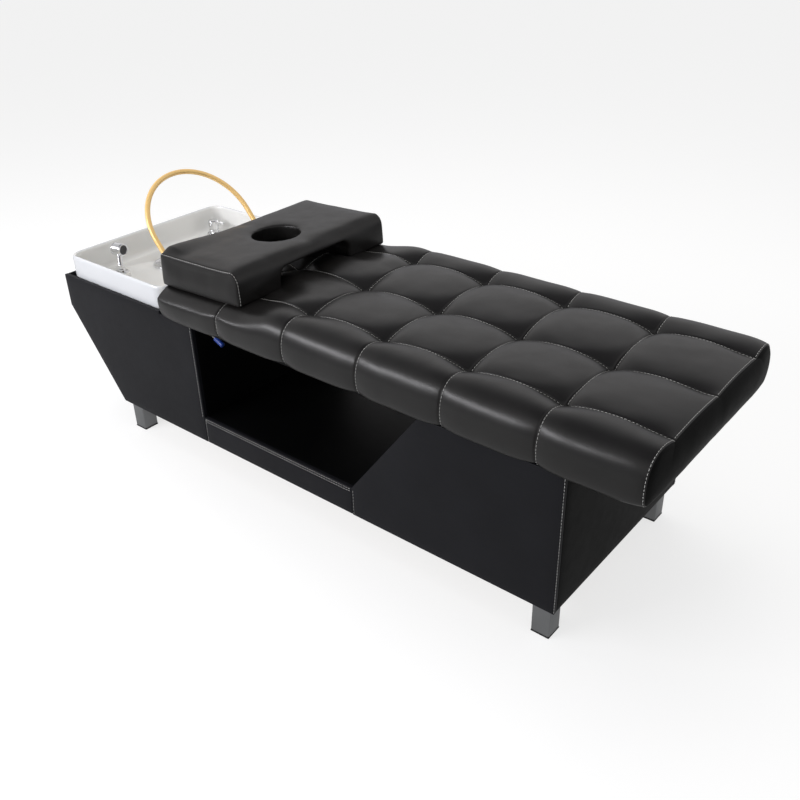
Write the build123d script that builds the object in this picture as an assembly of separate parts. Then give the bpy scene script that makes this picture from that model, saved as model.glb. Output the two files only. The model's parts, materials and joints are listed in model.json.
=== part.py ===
from build123d import *
import os
from math import atan2, cos, degrees, hypot, pi, radians, sin, tan

# Driving sizes of the bed, in millimetres. +X runs to the foot end, -Y is the open near side.
baseLength = 1828
baseWidth = 650
footOverhang = 194
deckTop = 488
headBoxTop = 496
stepClearance = 4
panelThickness = 12
headPanelThickness = 8
panelRoll = 3
boardThickness = 12
battenWidth = 18
fitClearance = 0.3
cutOverrun = 5

# Legs
legHeight = 100
legWidth = 50
legWall = 2
legInset = 17
legPlateThickness = 4
legPlateLip = 34
glideThickness = 3
glidePlugHeight = 15
glidePlugClearance = 0.1
headLegSetback = 11

# Side outline, measured from the head end or the foot end
headTipHeight = 105
headSlantRun = 206
bayHeadSetback = 620
footPanelLength = 619
footPanelTopLength = 392
railHeight = 87

# Basin
basinSideGap = 5
basinHeadGap = 1
basinTop = 560
basinShelfZ = 480
basinFloorThickness = 12
basinWall = 11
basinCorner = 45
basinLip = 4
basinFunnelDrop = 27
basinFunnelFoot = 118
basinLedge = 38
basinFootGap = 4
drainSetback = 116
fittingPadRadius = 27
fittingPadRise = 1
fittingPadBottom = 448

# Drain
drainRingRadius = 57
drainRingHeight = 4
drainThroatRadius = 33
drainThroatWall = 2.5
drainThroatLength = 62
drainHoleClearance = 0.5
strainerClearance = 0.3
strainerThickness = 3
strainerHoleRadius = 2.2
strainerKnobRadius = 5
strainerKnobHeight = 9
strainerCupDepth = 18
strainerCupWall = 1.2
drainWasherThickness = 3
drainWasherWidth = 10
drainNutHeight = 11
drainNutWidth = 13

# Bottle trap and waste pipe
trapRadius = 34
trapWall = 3
trapHeight = 74
trapNeckHeight = 16
trapCupHeight = 22
trapCupStep = 3
wastePipeRadius = 20
wastePipeWall = 2
wasteRunLength = 190
wasteBendRadius = 45
wasteDropHeight = 235
wasteNutRadius = 27
wasteNutLength = 18

# Hand sprayer and its socket
sprayerSetback = 106
sprayerSideInset = 123
socketFlangeRadius = 21
socketFlangeHeight = 6
socketShankRadius = 13
socketShankDepth = 16
socketNutRadius = 20
socketNutHeight = 8
stemRadius = 8.5
stemRunningClearance = 0.05
stemCollarRadius = 12
stemCollarHeight = 8
stemDepth = 44
stemTop = 503
neckRadius = 8
neckLeanBack = 35
neckLeanIn = 25
sprayerHeadZ = 545
sprayerHeadRadius = 20
sprayerHeadLength = 40
sprayerHeadTurn = 12
sprayerHeadRound = 5
sprayerFaceRadius = 15
sprayerFaceDepth = 4
sprayerFaceProud = 1
sprayerNozzleRadius = 1.1
sprayerNozzleRingShares = (0.36, 0.7)
hoseTailRadius = 6
hoseTailWall = 2.5
hoseTailLength = 14

# Mixer
mixerSetback = 68
mixerSideInset = 68
mixerFlangeRadius = 24
mixerFlangeHeight = 5
mixerColumnRadius = 16
mixerColumnTop = 497
mixerShankRadius = 14
mixerShankDepth = 20
mixerNutRadius = 22
mixerNutHeight = 8
mixerHubRadius = 15
mixerHubHeight = 10
mixerSpigotRadius = 7
mixerSpigotHeight = 8
mixerCapRadius = 18
mixerCapHeight = 22
mixerCapGap = 0.4
mixerEarWidth = 6
mixerEarHeight = 9
mixerPinRadius = 2
mixerPinClearance = 0.05
mixerLeverLength = 26
mixerLeverWidth = 12
mixerLeverThickness = 5
mixerLeverTurn = 10
mixerTiltRelief = 22
inletSpacing = 14
inletRadius = 10.5
inletHeight = 12
supplyPipeRadius = 7.5
supplyPipeWall = 1.5
supplyRunDrop = 38
supplyRunStep = 35
supplyBendRadius = 22
supplyEndInset = 17
supplyEndSideInset = 35
supplyEndSpacing = 40

# Water arch
archSideInset = 123.4
archTubeRadius = 8
archTubeWall = 1.2
archLean = 39.2
archCentreRise = 130
archPivotRise = 24
archFootSetback = 430
archHoleRadius = 0.9
archHoleCount = 11
archHoleSpread = 120
archBarrelRadius = 12
archBarrelLength = 26
archSpindleRadius = 5
archSpindleClearance = 0.05
archCheekThickness = 5
archFlangeRadius = 25
archFlangeHeight = 5
archFootHalfLength = 12

# Mattress
mattressHeadSetback = 483
mattressBoardInset = 16
mattressSideOverhang = 7
mattressPuff = 3
mattressBottomTuck = 11
mattressSidePeak = 543
mattressShoulderInset = 32
mattressShoulderZ = 586
tuftRowInset = 114
tuftHeadInset = 11.8
tuftColumns = 6
footSeamInset = 14
tuftMiddleZ = 574
tuftSideZ = 584
seamRidgeZ = 604
seamSideRidgeZ = 594
crownMiddleZ = 604
crownLongSeamZ = 604
crownRidgeZ = 618
crownSideRidgeZ = 612
crownShoulderZ = 598
sectionShares = (0.0, 0.1, 0.3, 0.7, 0.9)
sectionLiftShares = (0.0, 0.6, 0.96, 0.96, 0.6)
endInset = 24
endInsetShares = (0.0, 0.38, 1.0)
endDepthShares = (1.0, 0.3, 0.0)
headRoundDepth = 20

# Face pillow
pillowSetback = 503
pillowLength = 314
pillowSideInset = 29
pillowRise = 58
pillowCrown = 5
pillowHeight = 98
pillowSidePuff = 6
pillowEdgeRadius = 20
pillowEndPuff = 8
pillowEndInset = 12
pillowSeamInset = 7
breathHoleRadius = 70
breathHoleRim = 16
underArchHalfWidth = 138
underArchCover = 36
underArchCorner = 26
pillowSeatClearance = 0.5

# Shut-off valve under the deck
valveSetback = 32
valveDrop = 18
valveSideInset = 48
valveBodyRadius = 9
valveBodyLength = 44
valveHexRadius = 10.5
valveHexLength = 9
valvePipeRadius = 7
valvePipeWall = 1.5
valvePipeTail = 18
valveFlangeRadius = 11.5
valveFlangeThickness = 4
valveStemRadius = 3
valveStemLength = 9
valveBossRadius = 7
valveBossLength = 6
valveLeverLength = 48
valveLeverWidth = 10
valveLeverThickness = 3
valveLeverTilt = 27
valveGripLength = 34
valveGripRadius = 7.5
valveGripClearance = 0.2
valveStemClearance = 0.05

# Screws
screwRadius = 2.5
screwClearance = 0.1
screwHeadRadius = 5
screwHeadHeight = 2.5
screwBite = 9
deckScrewInset = 60
deckScrewRows = 3

# Service opening under the head box
serviceLength = 190
serviceWidth = 240
serviceSetback = 252

# Places worked out from the sizes above
overallLength = baseLength + footOverhang
headX = -overallLength / 2
footX = headX + baseLength
halfWidth = baseWidth / 2
innerHalfWidth = halfWidth - panelThickness
basinWidth = 2 * (innerHalfWidth - basinSideGap)
sprayerSide = basinWidth / 2 - sprayerSideInset
mixerSide = basinWidth / 2 - mixerSideInset
archRadius = basinWidth / 2 - archSideInset
mattressHalfWidth = halfWidth + mattressSideOverhang
tuftRowSpacing = mattressHalfWidth - tuftRowInset
pillowWidth = 2 * (mattressHalfWidth - pillowSideInset)
kneeZ = headBoxTop - headTipHeight
slantBottomX = headX + headSlantRun
slantAngle = atan2(headSlantRun, kneeZ - legHeight)
slantInnerX = slantBottomX + headPanelThickness / cos(slantAngle)
bayHeadX = headX + bayHeadSetback
railFootX = footX - footPanelLength
railTop = legHeight + railHeight
footPanelTopX = footX - footPanelTopLength
footInnerX = footX - panelThickness
baseBoardTop = legHeight + boardThickness
deckBottom = deckTop - boardThickness
mattressHeadX = headX + mattressHeadSetback
mattressFootX = footX + footOverhang
footSeamX = mattressFootX - footSeamInset
tuftColumnPitch = (footSeamX - mattressHeadX - tuftHeadInset) / tuftColumns
mattressBase = deckTop + boardThickness
basinHeadX = headX + headPanelThickness + basinHeadGap
basinFootX = mattressHeadX - basinFootGap
drainX = headX + drainSetback
serviceX = headX + serviceSetback
fittingPadTop = basinShelfZ + fittingPadRise
funnelFloorZ = basinShelfZ - basinFunnelDrop
basinLedgeZ = basinShelfZ - basinFloorThickness
basinUnderZ = funnelFloorZ - basinFloorThickness
sprayerX = headX + sprayerSetback
mixerX = headX + mixerSetback
archPivotX = headX + archFootSetback
archPivotZ = fittingPadTop + archPivotRise
archLeanAngle = radians(archLean)
archLegLength = archCentreRise / cos(archLeanAngle)
archCentreX = archPivotX - archLegLength * sin(archLeanAngle)
archCentreZ = archPivotZ + archCentreRise
pillowX = headX + pillowSetback + pillowLength / 2
pillowTop = crownRidgeZ + pillowRise
pillowBottom = pillowTop - pillowHeight
underArchTop = pillowTop - underArchCover
valveX = bayHeadX + valveSetback
valveY = -(innerHalfWidth - valveSideInset)
valveZ = deckBottom - valveDrop


def block(xs, ys, zs):
    lengths = (xs[1] - xs[0], ys[1] - ys[0], zs[1] - zs[0])
    return Pos(xs[0], ys[0], zs[0]) * Box(*lengths, align=(Align.MIN, Align.MIN, Align.MIN))


def upright(x, y, z, radius, height):
    return Pos(x, y, z) * Cylinder(radius, height, align=(Align.CENTER, Align.CENTER, Align.MIN))


def pipe(x, y, z, radius, wall, height):
    outer = upright(x, y, z, radius, height)
    bore = upright(x, y, z - cutOverrun, radius - wall, height + 2 * cutOverrun)
    return outer - bore


def prism(points, yLow, yHigh):
    outline = Plane.XZ * make_face(Polyline(*points, close=True))
    return Pos(0, yHigh, 0) * extrude(outline, amount=yHigh - yLow)


def hexagonal(x, y, z, radius, boreRadius, height):
    outline = RegularPolygon(radius, 6) - Circle(boreRadius)
    return Pos(x, y, z) * extrude(outline, amount=height)


def sidePanel(points, side):
    inner = side * innerHalfWidth
    outer = side * halfWidth
    panel = prism(points, min(inner, outer), max(inner, outer))
    outerFace = panel.faces().sort_by(Axis.Y)[-1 if side > 0 else 0]
    return fillet(outerFace.edges(), panelRoll)


def headPanelPoints():
    return [
        (headX, headBoxTop),
        (headX, kneeZ),
        (slantBottomX, legHeight),
        (bayHeadX, legHeight),
        (bayHeadX, deckTop),
        (mattressHeadX - stepClearance, deckTop),
        (mattressHeadX - stepClearance, headBoxTop),
    ]


def railPanelPoints():
    return [(bayHeadX, legHeight), (railFootX, legHeight), (railFootX, railTop), (bayHeadX, railTop)]


def footPanelPoints():
    return [
        (railFootX, legHeight),
        (footX, legHeight),
        (footX, deckTop),
        (footPanelTopX, deckTop),
        (railFootX, railTop),
    ]


def headEndPanel():
    innerKneeZ = kneeZ + headPanelThickness * tan(slantAngle / 2)
    points = [
        (headX, headBoxTop),
        (headX, kneeZ),
        (slantBottomX, legHeight),
        (slantInnerX, legHeight),
        (headX + headPanelThickness, innerKneeZ),
        (headX + headPanelThickness, headBoxTop),
    ]
    return prism(points, -innerHalfWidth, innerHalfWidth)


def footEndPanel():
    panel = block((footInnerX, footX), (-innerHalfWidth, innerHalfWidth), (legHeight, deckTop))
    return fillet(panel.faces().sort_by(Axis.X)[-1].edges(), panelRoll)


def legPlaces():
    places = {}
    for endName, nearEdge, inward in (
        ("head", slantBottomX + headLegSetback, 1),
        ("foot", footX - legInset, -1),
    ):
        for sideName, side in (("near", -1), ("far", 1)):
            places[sideName + "_" + endName] = (nearEdge, side * (halfWidth - legInset), inward, -side)
    return places


def span(start, length, direction):
    return sorted((start, start + direction * length))


def legScrewPlaces(place):
    x, y, alongX, alongY = place
    middle = legWidth / 2
    outer = legWidth + legPlateLip / 2
    shares = ((middle, outer), (outer, middle), (outer, outer))
    return [(x + alongX * dx, y + alongY * dy) for dx, dy in shares]


def leg(place):
    x, y, alongX, alongY = place
    tubeZ = (glideThickness, legHeight - legPlateThickness)
    outer = block(span(x, legWidth, alongX), span(y, legWidth, alongY), tubeZ)
    hollow = block(
        span(x + alongX * legWall, legWidth - 2 * legWall, alongX),
        span(y + alongY * legWall, legWidth - 2 * legWall, alongY),
        tubeZ,
    )
    plateSize = legWidth + legPlateLip
    plate = block(span(x, plateSize, alongX), span(y, plateSize, alongY), (tubeZ[1], legHeight))
    for screwX, screwY in legScrewPlaces(place):
        plate -= upright(screwX, screwY, tubeZ[1], screwRadius + screwClearance, legPlateThickness)
    return (outer - hollow) + plate


def legGlide(place):
    x, y, alongX, alongY = place
    plugInset = legWall + glidePlugClearance
    plugWidth = legWidth - 2 * plugInset
    base = block(span(x, legWidth, alongX), span(y, legWidth, alongY), (0, glideThickness))
    plug = block(
        span(x + alongX * plugInset, plugWidth, alongX),
        span(y + alongY * plugInset, plugWidth, alongY),
        (glideThickness, glideThickness + glidePlugHeight),
    )
    return base + plug


def screw(x, y, headTopZ, shankLength):
    head = upright(x, y, headTopZ - screwHeadHeight, screwHeadRadius, screwHeadHeight)
    shank = upright(x, y, headTopZ, screwRadius, shankLength)
    return head + shank


def legScrews():
    seat = legHeight - legPlateThickness
    length = legPlateThickness + screwBite
    places = [spot for place in legPlaces().values() for spot in legScrewPlaces(place)]
    return Compound(children=[screw(x, y, seat, length) for x, y in places])


def baseBoard():
    board = block((slantInnerX, footInnerX), (-innerHalfWidth, innerHalfWidth), (legHeight, baseBoardTop))
    board -= block(
        (serviceX, serviceX + serviceLength),
        (-serviceWidth / 2, serviceWidth / 2),
        (legHeight, baseBoardTop),
    )
    for place in legPlaces().values():
        for x, y in legScrewPlaces(place):
            board -= upright(x, y, legHeight, screwRadius + screwClearance, screwBite + screwClearance)
    return board


def headBulkhead():
    board = block(
        (bayHeadX - boardThickness, bayHeadX),
        (-innerHalfWidth, innerHalfWidth),
        (baseBoardTop, deckBottom),
    )
    hole = Cylinder(valvePipeRadius + screwClearance, boardThickness + 2 * cutOverrun)
    return board - Pos(bayHeadX - boardThickness / 2, valveY, valveZ) * Rot(0, 90, 0) * hole


def slantX(z):
    return railFootX + (footPanelTopX - railFootX) * (z - railTop) / (deckTop - railTop)


def slantedPartition():
    slope = atan2(deckTop - railTop, footPanelTopX - railFootX)
    depth = boardThickness / sin(slope)
    floorBoardBottom = railTop - boardThickness
    points = [
        (railFootX, floorBoardBottom),
        (railFootX, railTop),
        (slantX(deckBottom), deckBottom),
        (slantX(deckBottom) + depth, deckBottom),
        (slantX(floorBoardBottom) + depth, floorBoardBottom),
    ]
    return prism(points, -innerHalfWidth, innerHalfWidth)


def bayFloor():
    zs = (railTop - boardThickness, railTop)
    return block((bayHeadX, railFootX), (-innerHalfWidth, innerHalfWidth), zs)


def sideStrip(side, width):
    return sorted((side * innerHalfWidth, side * (innerHalfWidth - width)))


def floorBattens():
    zs = (baseBoardTop, railTop - boardThickness)
    strips = [block((bayHeadX, railFootX), sideStrip(side, battenWidth), zs) for side in (-1, 1)]
    return Compound(children=strips)


def partitionBatten():
    xs = (railFootX, railFootX + battenWidth)
    return block(xs, (-innerHalfWidth, innerHalfWidth), (baseBoardTop, railTop - boardThickness))


def deckCleats():
    slope = atan2(deckTop - railTop, footPanelTopX - railFootX)
    xs = (slantX(deckBottom) + boardThickness / sin(slope), footInnerX)
    zs = (deckBottom - battenWidth, deckBottom)
    return Compound(children=[block(xs, sideStrip(side, battenWidth), zs) for side in (-1, 1)])


def deckHeadBearer():
    zs = (deckBottom - 2 * battenWidth, deckBottom)
    return block((mattressHeadX, mattressHeadX + battenWidth), (-innerHalfWidth, innerHalfWidth), zs)


def deckScrewPlaces():
    start = mattressHeadX + deckScrewInset
    pitch = (footInnerX - deckScrewInset - start) / (deckScrewRows - 1)
    rows = [start + pitch * row for row in range(deckScrewRows)]
    return [(x, side * (innerHalfWidth - deckScrewInset)) for x in rows for side in (-1, 1)]


def deckBoard():
    board = block((mattressHeadX, footInnerX), (-innerHalfWidth, innerHalfWidth), (deckBottom, deckTop))
    for x, y in deckScrewPlaces():
        board -= upright(x, y, deckBottom, screwRadius + screwClearance, boardThickness)
    return board


def deckScrews():
    length = boardThickness + screwBite
    return Compound(children=[screw(x, y, deckBottom, length) for x, y in deckScrewPlaces()])


def mattressBoard():
    halfBoard = mattressHalfWidth - mattressBoardInset
    xs = (mattressHeadX + headRoundDepth, footSeamX - mattressBoardInset)
    board = block(xs, (-halfBoard, halfBoard), (deckTop, mattressBase))
    board = fillet(board.edges().filter_by(Axis.Z), mattressBoardInset)
    for x, y in deckScrewPlaces():
        board -= upright(x, y, deckTop, screwRadius + screwClearance, screwBite + screwClearance)
    return board


def blend(low, high, share):
    return low + (high - low) * share


def mattressSection(x, lift, inset):
    base = (mattressHalfWidth - mattressBottomTuck - inset, mattressBase)
    peak = (mattressHalfWidth + mattressPuff * lift - inset, mattressSidePeak)
    shoulder = (
        mattressHalfWidth - mattressShoulderInset - inset,
        blend(mattressShoulderZ, crownShoulderZ, lift) - inset,
    )
    longSeam = (tuftRowSpacing, blend(tuftSideZ, crownLongSeamZ, lift) - inset)
    middle = (0, blend(tuftMiddleZ, crownMiddleZ, lift) - inset)
    sideRidge = (
        (shoulder[0] + longSeam[0]) / 2,
        blend(seamSideRidgeZ, crownSideRidgeZ, lift) - inset,
    )
    ridge = (tuftRowSpacing / 2, blend(seamRidgeZ, crownRidgeZ, lift) - inset)
    edges = [Line((-base[0], base[1]), base)]
    for side in (1, -1):
        corners = [base, shoulder, longSeam, middle]
        tops = [peak, sideRidge, ridge]
        for start, top, end in zip(corners, tops, corners[1:]):
            arc = [(side * point[0], point[1]) for point in (start, top, end)]
            edges.append(ThreePointArc(*arc))
    return Plane((x, 0, 0), x_dir=(0, 1, 0), z_dir=(1, 0, 0)) * make_face(edges)


def mattress():
    sections = []
    for inset, depth in zip(endInsetShares, endDepthShares):
        if inset > 0:
            x = mattressFootX - footSeamInset * depth
            sections.append(mattressSection(x, 0, endInset * inset))
    sections.reverse()
    headRoundX = mattressHeadX + headRoundDepth
    seams = [footSeamX - tuftColumnPitch * column for column in range(tuftColumns)] + [headRoundX]
    for start, end in zip(seams, seams[1:]):
        for share, lift in zip(sectionShares, sectionLiftShares):
            sections.append(mattressSection(blend(start, end, share), lift, 0))
    for inset, depth in zip(endInsetShares, endDepthShares):
        x = mattressHeadX + headRoundDepth * depth
        sections.append(mattressSection(x, sectionLiftShares[1] / 2, endInset * inset))
    return loft(sections, ruled=True)


def pillowSection(y, inset):
    half = pillowLength / 2 - inset
    top = pillowTop - inset
    bottom = pillowBottom
    bend = pillowEdgeRadius
    flat = half - bend
    sideZ = (top - bend + bottom) / 2
    diagonal = bend * sin(radians(45))
    corner = (flat + diagonal, top - bend + diagonal)
    edges = [
        Line((-half, bottom), (half, bottom)),
        ThreePointArc((half, bottom), (half + pillowSidePuff, sideZ), (half, top - bend)),
        ThreePointArc((half, top - bend), corner, (flat, top)),
        ThreePointArc((flat, top), (0, top + pillowCrown), (-flat, top)),
        ThreePointArc((-flat, top), (-corner[0], corner[1]), (-half, top - bend)),
        ThreePointArc((-half, top - bend), (-half - pillowSidePuff, sideZ), (-half, bottom)),
    ]
    return Plane((pillowX, y, 0), x_dir=(1, 0, 0), z_dir=(0, -1, 0)) * make_face(edges)


def pillowEndPlaces():
    half = pillowWidth / 2
    return [
        (half, pillowEndInset),
        (half - pillowEndPuff / 2, pillowSeamInset / 2),
        (half - pillowEndPuff, 0),
        (half - 3 * pillowEndPuff, 0),
    ]


def breathHoleTool():
    rimZ = pillowTop + pillowCrown
    wide = breathHoleRadius + breathHoleRim
    diagonal = breathHoleRim * (1 - sin(radians(45)))
    edges = [
        Line((0, underArchTop - cutOverrun), (breathHoleRadius, underArchTop - cutOverrun)),
        Line((breathHoleRadius, underArchTop - cutOverrun), (breathHoleRadius, rimZ - breathHoleRim)),
        ThreePointArc(
            (breathHoleRadius, rimZ - breathHoleRim),
            (breathHoleRadius + diagonal, rimZ - diagonal),
            (wide, rimZ),
        ),
        Line((wide, rimZ), (wide, rimZ + cutOverrun)),
        Line((wide, rimZ + cutOverrun), (0, rimZ + cutOverrun)),
        Line((0, rimZ + cutOverrun), (0, underArchTop - cutOverrun)),
    ]
    return Pos(pillowX, 0, 0) * revolve(Plane.XZ * make_face(edges), Axis.Z)


def underArchTool():
    height = underArchTop - pillowBottom + cutOverrun
    outline = Rectangle(2 * underArchHalfWidth, 2 * height)
    outline = fillet(outline.vertices(), underArchCorner)
    length = pillowLength + 2 * (pillowSidePuff + cutOverrun)
    plane = Plane((pillowX - length / 2, 0, underArchTop - height), x_dir=(0, 1, 0), z_dir=(1, 0, 0))
    return extrude(plane * outline, amount=length)


def facePillow(bedTop):
    places = pillowEndPlaces()
    sections = [pillowSection(-y, inset) for y, inset in places]
    sections += [pillowSection(y, inset) for y, inset in reversed(places)]
    block = loft(sections, ruled=True)
    block -= underArchTool()
    block -= breathHoleTool()
    return block - Pos(0, 0, pillowSeatClearance) * bedTop


def basinOutline(inset, corner):
    length = basinFootX - basinHeadX - 2 * inset
    return RectangleRounded(length, basinWidth - 2 * inset, corner)


def basinBody(z, inset, corner, height):
    centre = (basinHeadX + basinFootX) / 2
    return Pos(centre, 0, z) * extrude(basinOutline(inset, corner), amount=height)


def funnel(topZ, topInset, topCorner, bottomZ, bottomSize):
    centre = (basinHeadX + basinFootX) / 2
    top = Pos(centre, 0, topZ) * basinOutline(topInset, topCorner)
    bottom = Pos(drainX, 0, bottomZ) * RectangleRounded(bottomSize, bottomSize, bottomSize / 2 - panelRoll)
    return loft([bottom, top], ruled=True)


def fittingPlaces():
    return {
        "sprayer": (sprayerX, -sprayerSide, socketShankRadius),
        "mixer": (mixerX, mixerSide, mixerShankRadius),
        "nearArch": (archPivotX, -archRadius, 0),
        "farArch": (archPivotX, archRadius, 0),
    }


def basin():
    outer = basinBody(basinLedgeZ, 0, basinCorner, basinTop - basinLedgeZ)
    outer = fillet(outer.faces().sort_by(Axis.Z)[-1].edges(), basinLip)
    underSize = basinFunnelFoot + 2 * basinFloorThickness
    outer += funnel(basinLedgeZ, basinLedge, basinCorner / 2, basinUnderZ, underSize)
    innerCorner = basinCorner - basinWall
    outer -= basinBody(basinShelfZ, basinWall, innerCorner, basinTop - basinShelfZ)
    outer -= funnel(basinShelfZ, basinWall, innerCorner, funnelFloorZ, basinFunnelFoot)
    outer -= upright(drainX, 0, basinUnderZ - cutOverrun, drainThroatRadius + drainHoleClearance, basinTop)
    for x, y, holeRadius in fittingPlaces().values():
        outer += upright(x, y, fittingPadBottom, fittingPadRadius, fittingPadTop - fittingPadBottom)
        if holeRadius > 0:
            bore = holeRadius + drainHoleClearance
            outer -= upright(x, y, fittingPadBottom - cutOverrun, bore, basinTop)
    return outer


def basinBearer(side):
    ys = sorted((side * innerHalfWidth, side * (basinWidth / 2 - basinLedge + panelRoll)))
    xs = (basinHeadX + basinCorner, mattressHeadX)
    return block(xs, ys, (basinLedgeZ - 2 * battenWidth, basinLedgeZ))


def drainFlange():
    ring = upright(drainX, 0, funnelFloorZ, drainRingRadius, drainRingHeight)
    ring = chamfer(ring.edges().sort_by(Axis.Z)[-1], drainRingHeight / 2)
    throat = upright(drainX, 0, funnelFloorZ - drainThroatLength, drainThroatRadius, drainThroatLength)
    bore = drainThroatRadius - drainThroatWall
    return ring + throat - upright(drainX, 0, funnelFloorZ - drainThroatLength, bore, 2 * drainThroatLength)


def drainStrainer():
    radius = drainThroatRadius - drainThroatWall - strainerClearance
    top = funnelFloorZ + drainRingHeight
    disc = upright(drainX, 0, top - strainerThickness, radius, strainerThickness)
    ringCounts = ((radius / 3, 6), (radius * 2 / 3, 12))
    for ringRadius, count in ringCounts:
        holes = PolarLocations(ringRadius, count)
        disc -= Pos(drainX, 0, top - strainerThickness) * holes * Cylinder(
            strainerHoleRadius, 2 * strainerThickness
        )
    cup = pipe(drainX, 0, top - strainerCupDepth, radius, strainerCupWall, strainerCupDepth)
    knob = upright(drainX, 0, top - strainerThickness / 2, strainerKnobRadius, strainerKnobHeight)
    knob = fillet(knob.edges().sort_by(Axis.Z)[-1], strainerKnobRadius / 3)
    return disc + cup + knob


def drainWasher():
    z = basinUnderZ - drainWasherThickness
    radius = drainThroatRadius + drainWasherWidth
    wall = drainWasherWidth - drainHoleClearance
    return pipe(drainX, 0, z, radius, wall, drainWasherThickness)


def drainNut():
    z = basinUnderZ - drainWasherThickness - drainNutHeight
    return hexagonal(
        drainX, 0, z, drainThroatRadius + drainNutWidth, drainThroatRadius + screwClearance, drainNutHeight
    )


def wasteTrap():
    top = funnelFloorZ - drainThroatLength
    neck = pipe(drainX, 0, top - trapNeckHeight, drainThroatRadius, drainThroatWall, trapNeckHeight)
    bodyTop = top - trapNeckHeight
    body = upright(drainX, 0, bodyTop - trapHeight, trapRadius, trapHeight)
    body = fillet(body.edges().group_by(Axis.Z)[0], trapWall)
    hollow = upright(drainX, 0, bodyTop - trapHeight + trapWall, trapRadius - trapWall, trapHeight)
    cupRingZ = bodyTop - trapHeight + trapCupHeight
    cupRing = pipe(drainX, 0, cupRingZ, trapRadius + trapCupStep, trapCupStep, trapCupHeight)
    shell = body - hollow + neck + cupRing
    outward = Plane((drainX, 0, wastePipeZ()), z_dir=(1, 0, 0))
    return shell - outward * extrude(Circle(wastePipeRadius), 2 * trapRadius)


def wastePipeZ():
    return funnelFloorZ - drainThroatLength - trapNeckHeight - wasteNutRadius


def wastePath(startX):
    elbowX = drainX + wasteRunLength
    z = wastePipeZ()
    route = FilletPolyline(
        (startX, 0, z), (elbowX, 0, z), (elbowX, 0, z - wasteDropHeight), radius=wasteBendRadius
    )
    return route


def wastePipe():
    startX = drainX + trapRadius + fitClearance
    path = wastePath(startX)
    section = Plane((startX, 0, wastePipeZ()), z_dir=(1, 0, 0)) * (
        Circle(wastePipeRadius) - Circle(wastePipeRadius - wastePipeWall)
    )
    return sweep(section, path=path)


def wasteNut():
    x = drainX + trapRadius + trapCupStep
    ring = Circle(wasteNutRadius) - Circle(wastePipeRadius + screwClearance)
    return Plane((x, 0, wastePipeZ()), z_dir=(1, 0, 0)) * extrude(ring, amount=wasteNutLength)


def sprayerSocket():
    x, y = sprayerX, -sprayerSide
    flange = upright(x, y, fittingPadTop, socketFlangeRadius, socketFlangeHeight)
    flange = fillet(flange.edges().sort_by(Axis.Z)[-1], socketFlangeHeight / 3)
    shankLength = fittingPadTop - fittingPadBottom + socketShankDepth
    shank = upright(x, y, fittingPadTop - shankLength, socketShankRadius, shankLength)
    bore = upright(x, y, fittingPadTop - 2 * shankLength, stemRadius + stemRunningClearance, 3 * shankLength)
    return flange + shank - bore


def sprayerNut():
    z = fittingPadBottom - socketNutHeight
    bore = socketShankRadius + screwClearance
    return hexagonal(sprayerX, -sprayerSide, z, socketNutRadius, bore, socketNutHeight)


def sprayerAxis():
    turn = radians(sprayerHeadTurn)
    return Vector(cos(turn), sin(turn), 0)


def sprayerHeadCentre():
    return Vector(sprayerX - neckLeanBack, -sprayerSide + neckLeanIn, sprayerHeadZ)


def sprayerHandle():
    x, y = sprayerX, -sprayerSide
    seat = fittingPadTop + socketFlangeHeight + fitClearance
    stem = upright(x, y, seat - stemDepth, stemRadius, stemTop - seat + stemDepth)
    collar = upright(x, y, seat, stemCollarRadius, stemCollarHeight)
    collar = chamfer(collar.edges().sort_by(Axis.Z)[-1], stemCollarHeight / 4)
    centre = sprayerHeadCentre()
    bend = Vector(x, y, stemTop)
    neck = Plane(bend, z_dir=centre - bend) * extrude(Circle(neckRadius), (centre - bend).length)
    elbow = Pos(*bend) * Sphere(stemRadius)
    axis = sprayerAxis()
    head = Plane(centre, z_dir=axis) * Cylinder(sprayerHeadRadius, sprayerHeadLength)
    head = fillet(head.edges().filter_by(GeomType.CIRCLE), sprayerHeadRound)
    pocketDepth = sprayerFaceDepth - sprayerFaceProud
    pocketStart = centre + axis * (sprayerHeadLength / 2 - pocketDepth)
    pocket = Plane(pocketStart, z_dir=axis) * extrude(Circle(sprayerFaceRadius), sprayerHeadLength)
    return stem + collar + elbow + neck + head - pocket


def sprayerFace():
    axis = sprayerAxis()
    start = sprayerHeadCentre() + axis * (sprayerHeadLength / 2 - sprayerFaceDepth + sprayerFaceProud)
    plate = Circle(sprayerFaceRadius - screwClearance)
    for share in sprayerNozzleRingShares:
        count = round(2 * pi * share * sprayerFaceRadius / (5 * sprayerNozzleRadius))
        plate -= PolarLocations(share * sprayerFaceRadius, count) * Circle(sprayerNozzleRadius)
    return Plane(start, z_dir=axis) * extrude(plate, amount=sprayerFaceDepth)


def hoseTail():
    bottom = fittingPadTop + socketFlangeHeight + fitClearance - stemDepth
    return pipe(sprayerX, -sprayerSide, bottom - hoseTailLength, hoseTailRadius, hoseTailWall, hoseTailLength)


def mixerBody():
    x, y = mixerX, mixerSide
    flange = upright(x, y, fittingPadTop, mixerFlangeRadius, mixerFlangeHeight)
    flange = fillet(flange.edges().sort_by(Axis.Z)[-1], mixerFlangeHeight / 3)
    column = upright(x, y, fittingPadTop, mixerColumnRadius, mixerColumnTop - fittingPadTop)
    spindle = upright(x, y, mixerColumnTop, mixerSpigotRadius, mixerSpigotHeight)
    shankLength = fittingPadTop - fittingPadBottom + mixerShankDepth
    shank = upright(x, y, fittingPadTop - shankLength, mixerShankRadius, shankLength)
    return flange + column + spindle + shank


def mixerNut():
    z = fittingPadBottom - mixerNutHeight
    bore = mixerShankRadius + screwClearance
    return hexagonal(mixerX, mixerSide, z, mixerNutRadius, bore, mixerNutHeight)


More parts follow.
